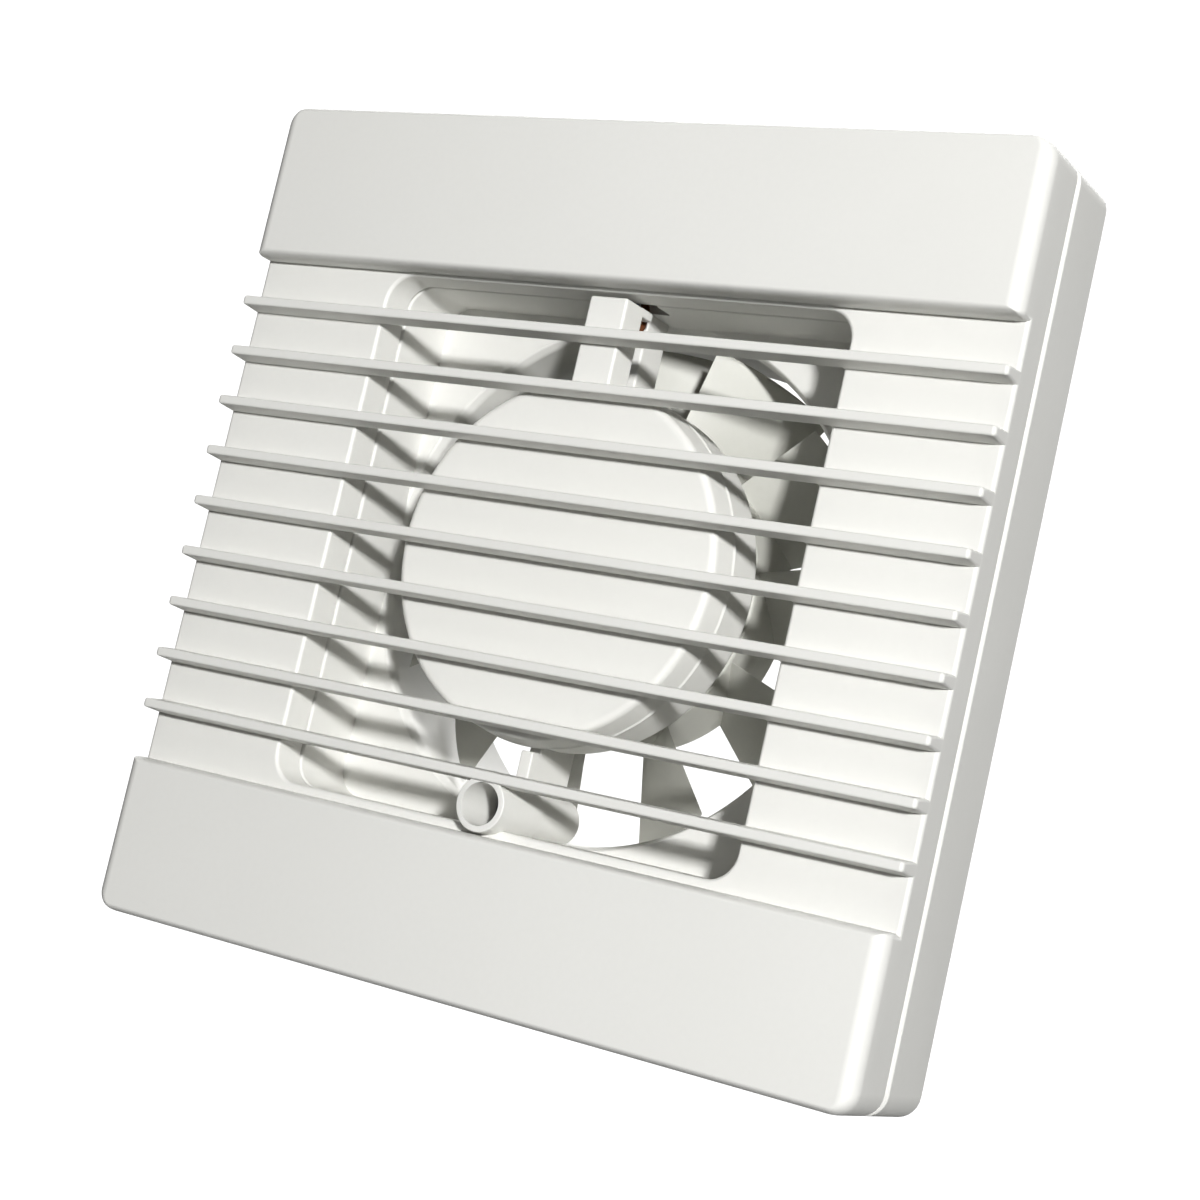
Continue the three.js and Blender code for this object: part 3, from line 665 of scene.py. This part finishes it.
def boss_hollows():
    bore = BOSS_R - 1.2
    profile = [(0, 0), (bore + 0.2, 0), (bore + 0.15, 1.3), (bore, 1.7), (bore, BOSS_FLOOR), (0, BOSS_FLOOR)]
    through = rod(1.9, (BOSS_FLOOR - 1, POST_FRONT + 1), (0, BOSS_Z), sides=32)
    return [lathe(profile, 48, (0, BOSS_Z)), through]


def make_front_cover():
    flange_back = SEAM - 0.4
    flange = stacked([opening_loop(FLANGE, PLATE + 0.2), opening_loop(FLANGE, flange_back)])
    body = cut(joined(cut(cover_body(), *cover_hollows()), flange), air_opening())
    slats = [slat((i - (SLATS - 1) / 2) * SLAT_PITCH) for i in range(SLATS)]
    lugs = [cover_lug(x, side * (HALF - SHEET)) for x in (-LUG_X, LUG_X) for side in (-1, 1)]
    rib = block((-0.8, 0.8), (5, flange_back), (-OPENING - 1, BOSS_Z))
    stiffeners = [block((x - 0.6, x + 0.6), (1, 9), (a, b))
                  for x in (-46, -16, 16, 46)
                  for a, b in ((RECESS_TOP + 1, HALF - 1), (1 - HALF, RECESS_BOTTOM - 1))]
    body = joined(body, *slats, *lugs, screw_boss(), rib, *stiffeners)
    return cut(body, *boss_hollows())


# ---- Base ----


def tray():
    outer = HALF
    lip = HALF - 0.7
    inner = HALF - SHEET - 0.3
    front = SEAM + GAP
    sizes = [(lip, front), (lip, front + 1.2), (outer - 0.15, front + 1.3), (outer, front + 1.5),
             (outer, CASING - 0.6), (outer - 0.2, CASING - 0.17), (outer - 0.6, CASING)]
    loops = []
    for half, depth in sizes:
        outline = rounded_loop((-half, half), (-half, half), (CORNER, CORNER))
        loops.append([(x, FRONT + depth, z) for x, z in outline])
    cavity = pillow_back((-inner, inner), front - 1, FLOOR)
    return cut(stacked(loops), cavity)


def pillow_back(side, front, back):
    """A hollow's cutter with rounded corners and a rounded edge round its floor."""
    edge = 0.8
    loops = [[(x, FRONT + front, z) for x, z in rounded_loop(side, side, (3, 3))]]
    for t in arc_steps(4):
        inset = edge * (1 - math.cos(t))
        loop = rounded_loop((side[0] + inset, side[1] - inset), (side[0] + inset, side[1] - inset), (3, 3))
        loops.append([(x, FRONT + back - edge + edge * math.sin(t), z) for x, z in loop])
    return stacked(loops)


def frame_wall():
    """The square wall that carries on from the cover's opening to the back plate, with a softened lip."""
    front, back = SEAM + GAP, FLOOR + 0.3
    lip = 0.5
    inner = [opening_loop(lip, front - 1)]
    inner += [opening_loop(lip * (1 - math.sin(t)), front + lip * (1 - math.cos(t))) for t in arc_steps(4)]
    inner.append(opening_loop(0, back + 1))
    outer = [opening_loop(FLANGE - 0.3, front), opening_loop(FLANGE, front + 0.3), opening_loop(FLANGE, back)]
    return cut(stacked(outer), stacked(inner))


def duct_wall():
    return lathe(softened([
        (DUCT_R + 0.8, FLOOR), (SPIGOT_R, FLOOR), (SPIGOT_R, CASING + 4), (SPIGOT_R - 0.5, SPIGOT_END - 3),
        (SPIGOT_R - 1.2, SPIGOT_END), (DUCT_R + 0.3, SPIGOT_END), (DUCT_R, CASING + 8), (DUCT_R, FLOOR + 1.6),
    ], 0.5), 160)


def motor_housing():
    inner_back = HOUSING_BACK - HOUSING_WALL
    return lathe(softened([
        (HOUSING_R, SEAM + GAP), (HOUSING_R, HOUSING_SHOULDER), (HOUSING_BACK_R, HOUSING_BACK),
        (HOUSING_MOUTH_R, HOUSING_BACK), (HOUSING_MOUTH_R, inner_back),
        (HOUSING_BACK_R - HOUSING_WALL, inner_back), (HOUSING_R - HOUSING_WALL, HOUSING_SHOULDER),
        (HOUSING_R - HOUSING_WALL, SEAM + GAP),
    ], 0.45), 128)


def housing_arms():
    """One arm behind the motor cover's strut, and one that runs down to the cover screw's post."""
    across = (-ARM_HALF, ARM_HALF)
    start = HOUSING_R - 0.8
    top = block(across, (17.2, 24.2), (start, OPENING + 0.5), 0.4)
    lower = block(across, (POST_FRONT, HOUSING_BACK), (-start, BOSS_Z + 3.4), 0.3)
    nose = block(across, (11.8, POST_FRONT + 1.5), (-HOUSING_R - 1.1, BOSS_Z + BOSS_R + 0.5), 0.3)
    return [top, lower, nose]


def post(at, radius, front, back):
    return lathe(softened([(0, front), (radius, front), (radius, back), (0, back)], 0.3), 40, at)


def countersink(at):
    front, top, bottom = FLOOR - 2, FLOOR - 1.39, FLOOR - 0.2
    return lathe([(0, front), (3.6, front), (3.6, top), (2.2, bottom), (0, bottom)], 40, at)


def base_ribs():
    """Low ribs on the base's floor, from the air wall towards the tray's sides and corners."""
    ribs = []
    for angle in (0, 45, 135, 180, 225, 315):
        straight = angle % 90 == 0
        start = OPENING + 1 if straight else (OPENING + FLANGE) * math.sqrt(2) - 3
        reach = HALF - 1.5 if straight else (HALF - 9) * math.sqrt(2) - 12
        ribs.append(turned_about_y(block((start, reach), (19, FLOOR + 0.5), (-0.6, 0.6)), angle))
    return ribs


def make_base_housing():
    shell = cut(tray(), rod(DUCT_R + 1, (FLOOR - 1, CASING + 1), sides=160))
    posts = []
    holes = []
    for at, radius, reach, hole_r, through in POSTS:
        posts.append(post(at, radius, *reach))
        holes.append(rod(hole_r, through, at, sides=32))
    holes.append(rod(INLET_R, (FLOOR - 1, CASING + 1), INLET, sides=64))
    holes.append(block((-5.4, 5.4), (SEAM - 1, 17), (OPENING - 1, OPENING + FLANGE + 1), 0.6))
    for x in (-WALL_SCREW, WALL_SCREW):
        for z in (-WALL_SCREW, WALL_SCREW):
            posts.append(post((x, z), 4.6, FLOOR - 1.4, FLOOR + 0.5))
            holes.append(rod(2.4, (FLOOR - 3, CASING + 1), (x, z), sides=40))
            holes.append(countersink((x, z)))
    body = joined(shell, frame_wall(), duct_wall(), motor_housing(), *housing_arms(), *posts, *base_ribs())
    return cut(body, *holes)


def make_motor_cover():
    rim = SEAM - 0.1
    lip = HOUSING_R - 1.9
    profile = [
        (0, CAP_FRONT), (CAP_R, CAP_FRONT), (CAP_R + 0.6, rim - 0.5), (CAP_R + 0.9, rim), (lip, rim),
        (lip, rim + 3), (lip - 0.9, rim + 3), (lip - 0.9, 11), (CAP_R - CAP_WALL, 9.5),
        (CAP_R - CAP_WALL, CAP_FRONT + CAP_WALL), (0, CAP_FRONT + CAP_WALL),
    ]
    soft = []
    for point, radius in zip(profile, (0, 1.3, 0.2, 0.2, 0.1, 0.3, 0.3, 0.3, 0.3, 0.6, 0)):
        soft.append((point, radius))
    cap = lathe(individually_softened(soft), 160)
    top = OPENING - 0.8
    strut = block((-STRUT_HALF, STRUT_HALF), (4.9, STRUT_BACK), (CAP_R - 2, top), 0.5)
    foot = block((-STRUT_HALF, STRUT_HALF), (STRUT_BACK - 1, POST_FRONT - GAP), (top - 1.6, top), 0.3)
    channel = block((1.2 - STRUT_HALF, STRUT_HALF - 1.2), (6.4, 17), (20, top - 1.8), 0.3)
    return cut(joined(cap, strut, foot), channel)


def individually_softened(corners):
    """A profile from (point, rounding) pairs."""
    points = [point for point, _ in corners]
    made = []
    for i, (point, radius) in enumerate(corners):
        if radius == 0:
            made.append(point)
        else:
            made += rounded_corner(points[i - 1], point, points[(i + 1) % len(points)], radius, 5)
    return made


# ---- Screws, wires and the motor ----


def screw_thread(radius, start, tip, pitch=1.1, height=0.28):
    """A tapered shank with one raised spiral."""
    around, along = 24, max(12, int((tip - start) / pitch * 8))
    loops = []
    for i in range(along + 1):
        share = i / along
        depth = start + (tip - start) * share
        taper = 1 if share < 0.75 else 1 - 0.55 * (share - 0.75) / 0.25
        loop = []
        for j in range(around):
            phase = ((depth - start) / pitch - j / around) % 1
            ridge = max(0, 1 - abs(phase - 0.5) * 4)
            fade = min(1, share * 8, (1 - share) * 8)
            size = (radius - height + height * ridge * fade) * taper
            turn = 2 * math.pi * j / around
            loop.append((size * math.cos(turn), FRONT + depth, size * math.sin(turn)))
        loops.append(loop)
    return stacked(loops)


def screw(at, head, head_r, shank_r, tip):
    front, back = head
    tall = back - front
    profile = [(0, front)]
    profile += [(head_r * math.sin(t), front + tall * 0.62 * (1 - math.cos(t))) for t in arc_steps(8)[1:]]
    profile += [(head_r, back - 0.1), (head_r - 0.1, back), (0, back)]
    body = joined(lathe(profile, 48), screw_thread(shank_r, back - 0.4, tip))
    long, short = head_r * 0.55, 0.35
    deep = front + tall * 0.65
    cross = joined(
        block((-long, long), (front - 1, deep), (-short, short), 0.12),
        block((-short, short), (front - 1, deep), (-long, long), 0.12),
    )
    body = cut(body, cross)
    body.data.transform(Matrix.Translation((at[0], 0, at[1])))
    return body


def smooth_path(points, per_span=8):
    """A Catmull-Rom line through points."""
    line = []
    padded = [points[0] * 2 - points[1], *points, points[-1] * 2 - points[-2]]
    for i in range(1, len(padded) - 2):
        a, b, c, d = padded[i - 1:i + 3]
        for j in range(per_span):
            t = j / per_span
            line.append(0.5 * (
                2 * b + (c - a) * t + (2 * a - 5 * b + 4 * c - d) * t ** 2 + (3 * b - a - 3 * c + d) * t ** 3
            ))
    line.append(points[-1])
    return line


def tube(points, radius, sides=16):
    """A round tube along a line, whose section turns no more than the line does."""
    line = smooth_path(points)
    across = (line[1] - line[0]).orthogonal().normalized()
    loops = []
    for i, point in enumerate(line):
        ahead = (line[min(i + 1, len(line) - 1)] - line[max(i - 1, 0)]).normalized()
        across = (across - ahead * across.dot(ahead)).normalized()
        up = ahead.cross(across)
        loop = []
        for j in range(sides):
            turn = 2 * math.pi * j / sides
            loop.append(point + across * radius * math.cos(turn) + up * radius * math.sin(turn))
        loops.append(loop)
    return stacked(loops)


def lead(side, offset):
    """A lead from the coil, round the rotor, up the strut and across to its terminal."""
    x = side * 1.1
    end = TERMINAL[0] + offset
    route = [
        (side * 13, 10.1, -15), (side * 19.6, 10.1, -8.5), (side * 22.4, 10, 2), (side * 19.5, 9.7, 11.5),
        (side * 11, 9.2, 20), (side * 3.2, 8.9, 25.5), (x, 8.8, 30), (x, 8.9, 36), (x, 11.2, 40.4),
        (x, 14.6, 42.6), (x, 15.7, 45.6), (x * 1.3, 15.8, 49), (x + 0.3 * end, 16.6, 51.4 - side),
        (end - 4.5, 17.2, 51.8 - side), (end - 0.4, 17.3, 54), (end, 17.3, TERMINAL[1] - 4),
    ]
    return tube([Vector((px, FRONT + depth, pz)) for px, depth, pz in route], 0.75)


def make_stator():
    """The stack's edge shows a fine step at every sheet."""
    sheets, groove = 16, 0.07
    top, half = 14, 19
    loops = []
    for i in range(sheets):
        start = STACK[0] + (STACK[1] - STACK[0]) * i / sheets
        end = STACK[0] + (STACK[1] - STACK[0]) * (i + 1) / sheets
        for inset, depth in ((groove, start), (0, start + 0.06), (0, end - 0.06), (groove, end)):
            outline = rounded_loop((inset - half, half - inset), (COIL_BAR[0] + inset, top - inset), (3, 3))
            loops.append([(x, FRONT + depth, z) for x, z in outline])
    loops = [loop for i, loop in enumerate(loops) if i == 0 or i % 4 != 0]
    through = (STACK[0] - 1, STACK[1] + 1)
    window = COIL_HALF + 0.9
    tools = [rod(9.2, through, sides=96), block((-window, window), through, (COIL_BAR[1], -10.4))]
    for side in (-1, 1):
        tools.append(rod(HOLE_R, through, (side * MOTOR_SCREW_X, 0), sides=32))
        tools.append(block((side * 10.9, side * 13.1), through, (5.4, 10.6)))
        tools.append(block((side * 15.2, side * 20), through, (5.9, 15)))
    return cut(stacked(loops), *tools)


def make_shading_ring(side):
    loop = block((side * 11.3, side * 16.9), (STACK[0] - 1.5, STACK[1] + 1.5), (7.2, 8.8), 0.4)
    return cut(loop, block((side * 12.7, side * 15.6), (STACK[0] - GAP, STACK[1] + GAP), (6, 10)))


COIL_DEEP = STACK_MIDDLE - STACK[0] + GAP
COIL_HIGH = (COIL_BAR[1] - COIL_BAR[0]) / 2 + GAP


def coil_sleeve(x, grow, bevel=0.0):
    return block(
        x,
        (STACK_MIDDLE - COIL_DEEP - grow, STACK_MIDDLE + COIL_DEEP + grow),
        (COIL_MIDDLE - COIL_HIGH - grow, COIL_MIDDLE + COIL_HIGH + grow),
        bevel,
    )


def make_bobbin():
    wall, winding = 0.8, 2.2
    cheeks = []
    for side in (-1, 1):
        across = (side * (COIL_HALF - wall), side * COIL_HALF)
        cheeks.append(coil_sleeve(across, wall + winding, 0.25))
    tube_wall = coil_sleeve((-COIL_HALF, COIL_HALF), wall)
    return cut(joined(tube_wall, *cheeks), coil_sleeve((-COIL_HALF - 1, COIL_HALF + 1), 0))


def make_winding():
    """Every turn of the outer layer is a rounded ridge."""
    half, turns, per_turn = COIL_HALF - 1.1, 30, 6
    core, grow, ridge = 1.1, 2.7, 0.14
    loops = []
    for i in range(turns * per_turn + 1):
        x = -half + 2 * half * i / (turns * per_turn)
        swell = grow - ridge + ridge * abs(math.sin(math.pi * i / per_turn))
        deep, high = COIL_DEEP + swell, COIL_HIGH + swell
        outline = rounded_loop((-deep, deep), (-high, high), (1.6, 1.6), 5)
        loops.append([(x, FRONT + STACK_MIDDLE + d, COIL_MIDDLE + z) for d, z in outline])
    return cut(stacked(loops), coil_sleeve((-half - 1, half + 1), core))


def make_cutout():
    below = COIL_MIDDLE - COIL_HIGH - 4.4
    body = lathe(softened([(0, -4), (1.2, -4), (1.2, 4), (0, 4)], 0.4), 40)
    body.data.transform(Matrix.Translation((0, -FRONT, 0)))
    body.data.transform(Matrix.Rotation(math.pi / 2, 4, "Z"))
    body.data.transform(Matrix.Translation((0, FRONT + STACK_MIDDLE, below)))
    return body


def make_bracket(foot, bridge, seat):
    height = (-4, 4)
    leg_in, leg_out, foot_out = 9.6, 10.8, 18.2
    reach = (min(foot[0], bridge[0]), max(foot[1], bridge[1]))
    body = block((-leg_out, leg_out), bridge, height, 0.25)
    for side in (-1, 1):
        body = joined(
            body,
            block((side * leg_in, side * foot_out), foot, height, 0.25),
            block((side * leg_in, side * leg_out), reach, height, 0.25),
        )
    seat_r = 6.2
    cup = [(0, seat[0]), (seat_r, seat[0]), (seat_r, seat[1]), (0, seat[1])]
    body = joined(body, lathe(softened(cup, 0.6), 72))
    body = cut(body, rod(5, (seat[0] - 1, seat[1] + 1), sides=72))
    through = (foot[0] - 1, foot[1] + 1)
    return cut(body, *[rod(HOLE_R, through, (side * MOTOR_SCREW_X, 0), sides=32) for side in (-1, 1)])


def make_rotor_core():
    """A slotted core: shallow skewed slots run along its skin, as the cage's bars do."""
    low, high = limits("rotor_core")
    start, end = low.y - FRONT, high.y - FRONT
    radius, slots, steps = high.x, 17, 16
    around = slots * 8
    loops = []
    for i in range(steps + 1):
        share = i / steps
        loop = []
        for j in range(around):
            turn = 2 * math.pi * (j / around + share / slots)
            dip = 0.22 if j % 8 in (3, 4) else 0
            size = radius - dip
            loop.append((size * math.cos(turn), FRONT + start + (end - start) * share, size * math.sin(turn)))
        loops.append(loop)
    return cut(stacked(loops), rod(BORE_R, (start - 1, end + 1), sides=64))


def ring_for(node, inner, soft, sides=96):
    low, high = limits(node)
    return ring(inner, high.x, (low.y - FRONT, high.y - FRONT), soft, sides)


def make_shaft():
    ends = (SHAFT_LOW.y - FRONT, SHAFT_HIGH.y - FRONT)
    return rod(SHAFT_R, ends, soft=0.5, sides=64)


def make_clip():
    """A push-on retainer: a dished ring with slots that leave springy teeth round the shaft."""
    low, high = limits("impeller_clip")
    start, end = low.y - FRONT, high.y - FRONT
    radius = high.x
    body = lathe(softened([
        (BORE_R, start + 0.1), (radius * 0.72, start), (radius, start), (radius, end - 0.3),
        (radius * 0.75, end - 0.25), (BORE_R, end),
    ], 0.12), 72)
    slots = []
    for angle in range(0, 360, 60):
        slot = block((0, radius * 0.72), (start - 1, end + 1), (-0.3, 0.3))
        slots.append(turned_about_y(slot, angle))
    return cut(body, *slots)


# ---- Impeller ----


def blade_section(radius, angle, steps=14):
    share = (radius - HUB_R) / (TIP_R - HUB_R)
    front = HUB[0] + 0.5 + 0.9 * share
    back = HUB[1] - 2.4
    near, far = [], []
    for i in range(steps + 1):
        along = i / steps
        swell = math.sin(math.pi * along)
        turn = math.radians(angle + BLADE_WRAP * (0.5 - along + 0.03 * swell))
        edge = min(1, 2.2 * math.sqrt(max(0, along * (1 - along))) + 0.05)
        thick = BLADE_THICK * (0.5 + 0.5 * swell) * (1.15 - 0.3 * share) * edge
        half = 0.65 * thick / radius
        y = FRONT + front + (back - front) * along
        near.append((radius * math.cos(turn - half), y, radius * math.sin(turn - half)))
        far.append((radius * math.cos(turn + half), y, radius * math.sin(turn + half)))
    return near + far[::-1]


def blade(angle, steps=12):
    root, end_round = HUB_R - 1, 0.5
    radii = [root + (TIP_R - end_round - root) * i / steps for i in range(steps + 1)]
    loops = [blade_section(r, angle) for r in radii]
    body = loops[-1]
    count = len(body)
    for t in arc_steps(3)[1:]:
        outer = blade_section(TIP_R - end_round + end_round * math.sin(t), angle)
        keep = max(math.cos(t), 0.12)
        rounded = []
        for j in range(count):
            a, b = Vector(outer[j]), Vector(outer[count - 1 - j])
            middle = (a + b) / 2
            rounded.append(tuple(middle + (a - middle) * keep))
        loops.append(rounded)
    return stacked(loops)


def make_impeller():
    front, back = HUB
    boss = 31.6
    hub = lathe(softened([
        (HUB_R - 1.8, front), (HUB_R, front), (HUB_R, back - 3), (HUB_R - 3, back),
        (BORE_R, back), (BORE_R, boss), (5, boss), (5.4, back - 2), (HUB_R - 3.6, back - 2),
        (HUB_R - 1.8, back - 3.8),
    ], 0.7), 120)
    ribs = []
    for angle in range(12, 372, 60):
        rib = block((4.8, HUB_R - 1), (34, back - 1.5), (-0.6, 0.6))
        ribs.append(turned_about_y(rib, angle))
    blades = [blade(FIRST_BLADE + i * 360 / BLADES) for i in range(BLADES)]
    return joined(hub, *ribs, *blades)


# ---- Terminals and cable inlet ----


def make_terminal_block():
    x, z = TERMINAL
    body = block((x - 14, x + 14), (12.6, 21.7), (z - 6, z + 6), 0.5)
    for offset in TERMINAL_WAYS.values():
        collar = [(0, 12), (3.6, 12), (3.8, 14), (0, 14)]
        body = joined(body, lathe(softened(collar, 0.4), 48, (x + offset, z)))
    tools = [rod(3, (11, 14.5), TERMINAL, sides=48), rod(HOLE_R, (14, 23), TERMINAL, sides=32)]
    for offset in TERMINAL_WAYS.values():
        tools.append(rod(2.4, (11, 15), (x + offset, z), sides=48))
        tools.append(block((x + offset - 2.4, x + offset + 2.4), (14.6, 19.6), (z - 7, z + 7)))
    for offset in (-4, 4):
        tools.append(block((x + offset - 0.4, x + offset + 0.4), (12, 16), (z - 7, z + 7)))
    return cut(body, *tools)


def make_insert(offset):
    x, z = TERMINAL[0] + offset, TERMINAL[1]
    sleeve = block((x - 2.1, x + 2.1), (14.9, 19.3), (z - 5.4, z + 5.4), 0.25)
    bore = lathe([(0, -7), (1.4, -7), (1.4, 7), (0, 7)], 40)
    bore.data.transform(Matrix.Translation((0, -FRONT, 0)))
    bore.data.transform(Matrix.Rotation(math.pi / 2, 4, "X"))
    bore.data.transform(Matrix.Translation((x, FRONT + 17.3, z)))
    return cut(sleeve, bore, rod(HOLE_R, (13, 17), (x, z), sides=32))


def make_clamp():
    x, z = CLAMP
    plate = block((x - 11.5, x + 11.5), (18, 20.3), (z - 3.4, z + 3.4), 0.5)
    teeth = [block((x - 5, x + 5), (20, 21.6), (z + o - 0.5, z + o + 0.5), 0.2) for o in (-0.5, 0.5)]
    plate = joined(plate, *teeth)
    return cut(plate, *[rod(HOLE_R, (17, 22), (x + side * CLAMP_SCREW_X, z), sides=32) for side in (-1, 1)])


def make_grommet():
    bore, front = 3.6, FLOOR - 1.8
    profile = softened([
        (bore, front), (INLET_R + 1.4, front), (INLET_R + 1.4, FLOOR - GAP),
        (INLET_R - GAP, FLOOR - GAP), (INLET_R - GAP, CASING - 0.2), (bore, CASING - 0.2),
    ], 0.6)
    return lathe(profile, 72, INLET)


# ---- All pieces ----


def piece(node, shape, angle=32):
    slot = next(s["material_slot"] for s in frame["record"]["subparts"] if s["node"] == node)
    return finished(shape, node, MATERIALS[slot], angle)


def make_casing():
    piece("front_cover", make_front_cover())
    piece("base_housing", make_base_housing())
    piece("motor_cover", make_motor_cover())
    piece("cover_screw", screw((0, BOSS_Z), *COVER_SCREW), 45)


def make_motor():
    piece("stator_core", make_stator())
    piece("shading_ring_left", make_shading_ring(-1))
    piece("shading_ring_right", make_shading_ring(1))
    piece("coil_bobbin", make_bobbin())
    piece("coil_winding", make_winding(), 60)
    piece("thermal_cutout", make_cutout())
    piece("front_bearing_bracket", make_bracket((10.5, 11.5), (8, 9), (7.6, 10)))
    piece("rear_bearing_bracket", make_bracket((20.1, 21.1), (22.2, 23.2), (21.9, 25.2)))
    for end in ("front", "rear"):
        bush_r = limits(f"{end}_bush")[1].x
        piece(f"{end}_bush", ring_for(f"{end}_bush", BORE_R, 0.35))
        piece(f"{end}_felt", ring_for(f"{end}_felt", bush_r + GAP, 0.3))
        piece(f"{end}_thrust_washer", ring_for(f"{end}_thrust_washer", BORE_R, 0.12))
        piece(f"rotor_ring_{end}", ring_for(f"rotor_ring_{end}", BORE_R, 0.3))
    for side, sign in (("left", -1), ("right", 1)):
        shape = screw((sign * MOTOR_SCREW_X, 0), *MOTOR_SCREW)
        piece(f"motor_screw_{side}", shape, 45)
    piece("rotor_core", make_rotor_core())
    piece("motor_shaft", make_shaft())


def make_electrics():
    piece("terminal_block", make_terminal_block())
    piece("terminal_fixing_screw", screw(TERMINAL, *TERMINAL_FIXING_SCREW), 45)
    for way, offset in TERMINAL_WAYS.items():
        piece(f"terminal_insert_{way}", make_insert(offset))
        at = (TERMINAL[0] + offset, TERMINAL[1])
        piece(f"terminal_screw_{way}", screw(at, *TERMINAL_SCREW), 45)
    piece("cable_clamp", make_clamp())
    for side, sign in (("left", -1), ("right", 1)):
        at = (CLAMP[0] + sign * CLAMP_SCREW_X, CLAMP[1])
        piece(f"clamp_screw_{side}", screw(at, *CLAMP_SCREW), 45)
    piece("cable_grommet", make_grommet())
    piece("wire_live", lead(1, TERMINAL_WAYS["live"]), 60)
    piece("wire_neutral", lead(-1, TERMINAL_WAYS["neutral"]), 60)


# ---- Stage ----


def make_camera():
    turn, rise, roll = (math.radians(a) for a in (CAMERA_AZIMUTH, CAMERA_RISE, CAMERA_ROLL))
    ahead = Vector((-math.sin(turn) * math.cos(rise), math.cos(turn) * math.cos(rise), math.sin(rise)))
    level = Vector((math.cos(turn), math.sin(turn), 0))
    upright = level.cross(ahead)
    right = level * math.cos(roll) + upright * math.sin(roll)
    up = upright * math.cos(roll) - level * math.sin(roll)
    camera = bpy.data.objects.new("camera", bpy.data.cameras.new("camera"))
    bpy.context.scene.collection.objects.link(camera)
    matrix = Matrix((right, up, -ahead)).transposed().to_4x4()
    matrix.translation = Vector(CAMERA_AT)
    camera.matrix_world = matrix
    camera.data.lens = CAMERA_LENS
    camera.data.sensor_width = 36
    camera.data.clip_start = 0.01
    bpy.context.scene.camera = camera


def make_floor():
    half, level = STUDIO_HALF, STUDIO_LEVEL
    corners = [(-half, -half, level), (half, -half, level), (half, half, level), (-half, half, level)]
    floor = new_object("floor", corners, [(0, 1, 2, 3)])
    n = Nodes("pale_floor")
    colour = n.mixed(n.spread(n.noise(3, 2.0), 0, 1), (0.86, 0.86, 0.85), (0.84, 0.84, 0.83))
    glow = {"Emission_Color": (0.95, 0.95, 0.94, 1), "Emission_Strength": STUDIO_GLOW}
    floor.data.materials.append(n.finish(colour, n.spread(n.noise(8), 0.75, 0.85), **glow))
    floor.visible_diffuse = False  # diffuse rays miss the floor, so its glow doesn't fill the shadows


def area_light(name, at, size, power, target=(0, 0, 0)):
    light = bpy.data.lights.new(name, "AREA")
    light.size = size
    light.energy = power
    obj = bpy.data.objects.new(name, light)
    bpy.context.scene.collection.objects.link(obj)
    obj.location = at
    obj.rotation_euler = (Vector(target) - Vector(at)).to_track_quat("-Z", "Y").to_euler()


def make_lights():
    area_light("key", *KEY_LIGHT)
    area_light("soft", *FRONT_FILL)
    area_light("behind", *BACK_LIGHT)


def make_world():
    """A studio that shows white all round, but lights the fan only faintly, and from the front."""
    world = bpy.data.worlds.new("studio")
    bpy.context.scene.world = world
    world.use_nodes = True
    tree = world.node_tree
    tree.nodes.clear()
    output = tree.nodes.new("ShaderNodeOutputWorld")
    backdrop = tree.nodes.new("ShaderNodeBackground")
    backdrop.inputs["Color"].default_value = BACKDROP
    fill = tree.nodes.new("ShaderNodeBackground")
    fill.inputs["Color"].default_value = FILL
    direction = tree.nodes.new("ShaderNodeTexCoord")
    split = tree.nodes.new("ShaderNodeSeparateXYZ")
    ramp = tree.nodes.new("ShaderNodeMapRange")
    for name, value in FILL_FADE:
        ramp.inputs[name].default_value = value
    path = tree.nodes.new("ShaderNodeLightPath")
    mix = tree.nodes.new("ShaderNodeMixShader")
    tree.links.new(direction.outputs["Generated"], split.inputs["Vector"])
    tree.links.new(split.outputs["Y"], ramp.inputs["Value"])
    tree.links.new(ramp.outputs["Result"], fill.inputs["Strength"])
    tree.links.new(path.outputs["Is Camera Ray"], mix.inputs["Fac"])
    tree.links.new(fill.outputs["Background"], mix.inputs[1])
    tree.links.new(backdrop.outputs["Background"], mix.inputs[2])
    tree.links.new(mix.outputs["Shader"], output.inputs["Surface"])
    bpy.context.scene.view_settings.view_transform = "Standard"
    bpy.context.scene.view_settings.look = "Medium High Contrast"


make_camera()
make_casing()
make_motor()
piece("impeller", make_impeller())
piece("impeller_clip", make_clip())
make_electrics()
make_floor()
make_lights()
make_world()
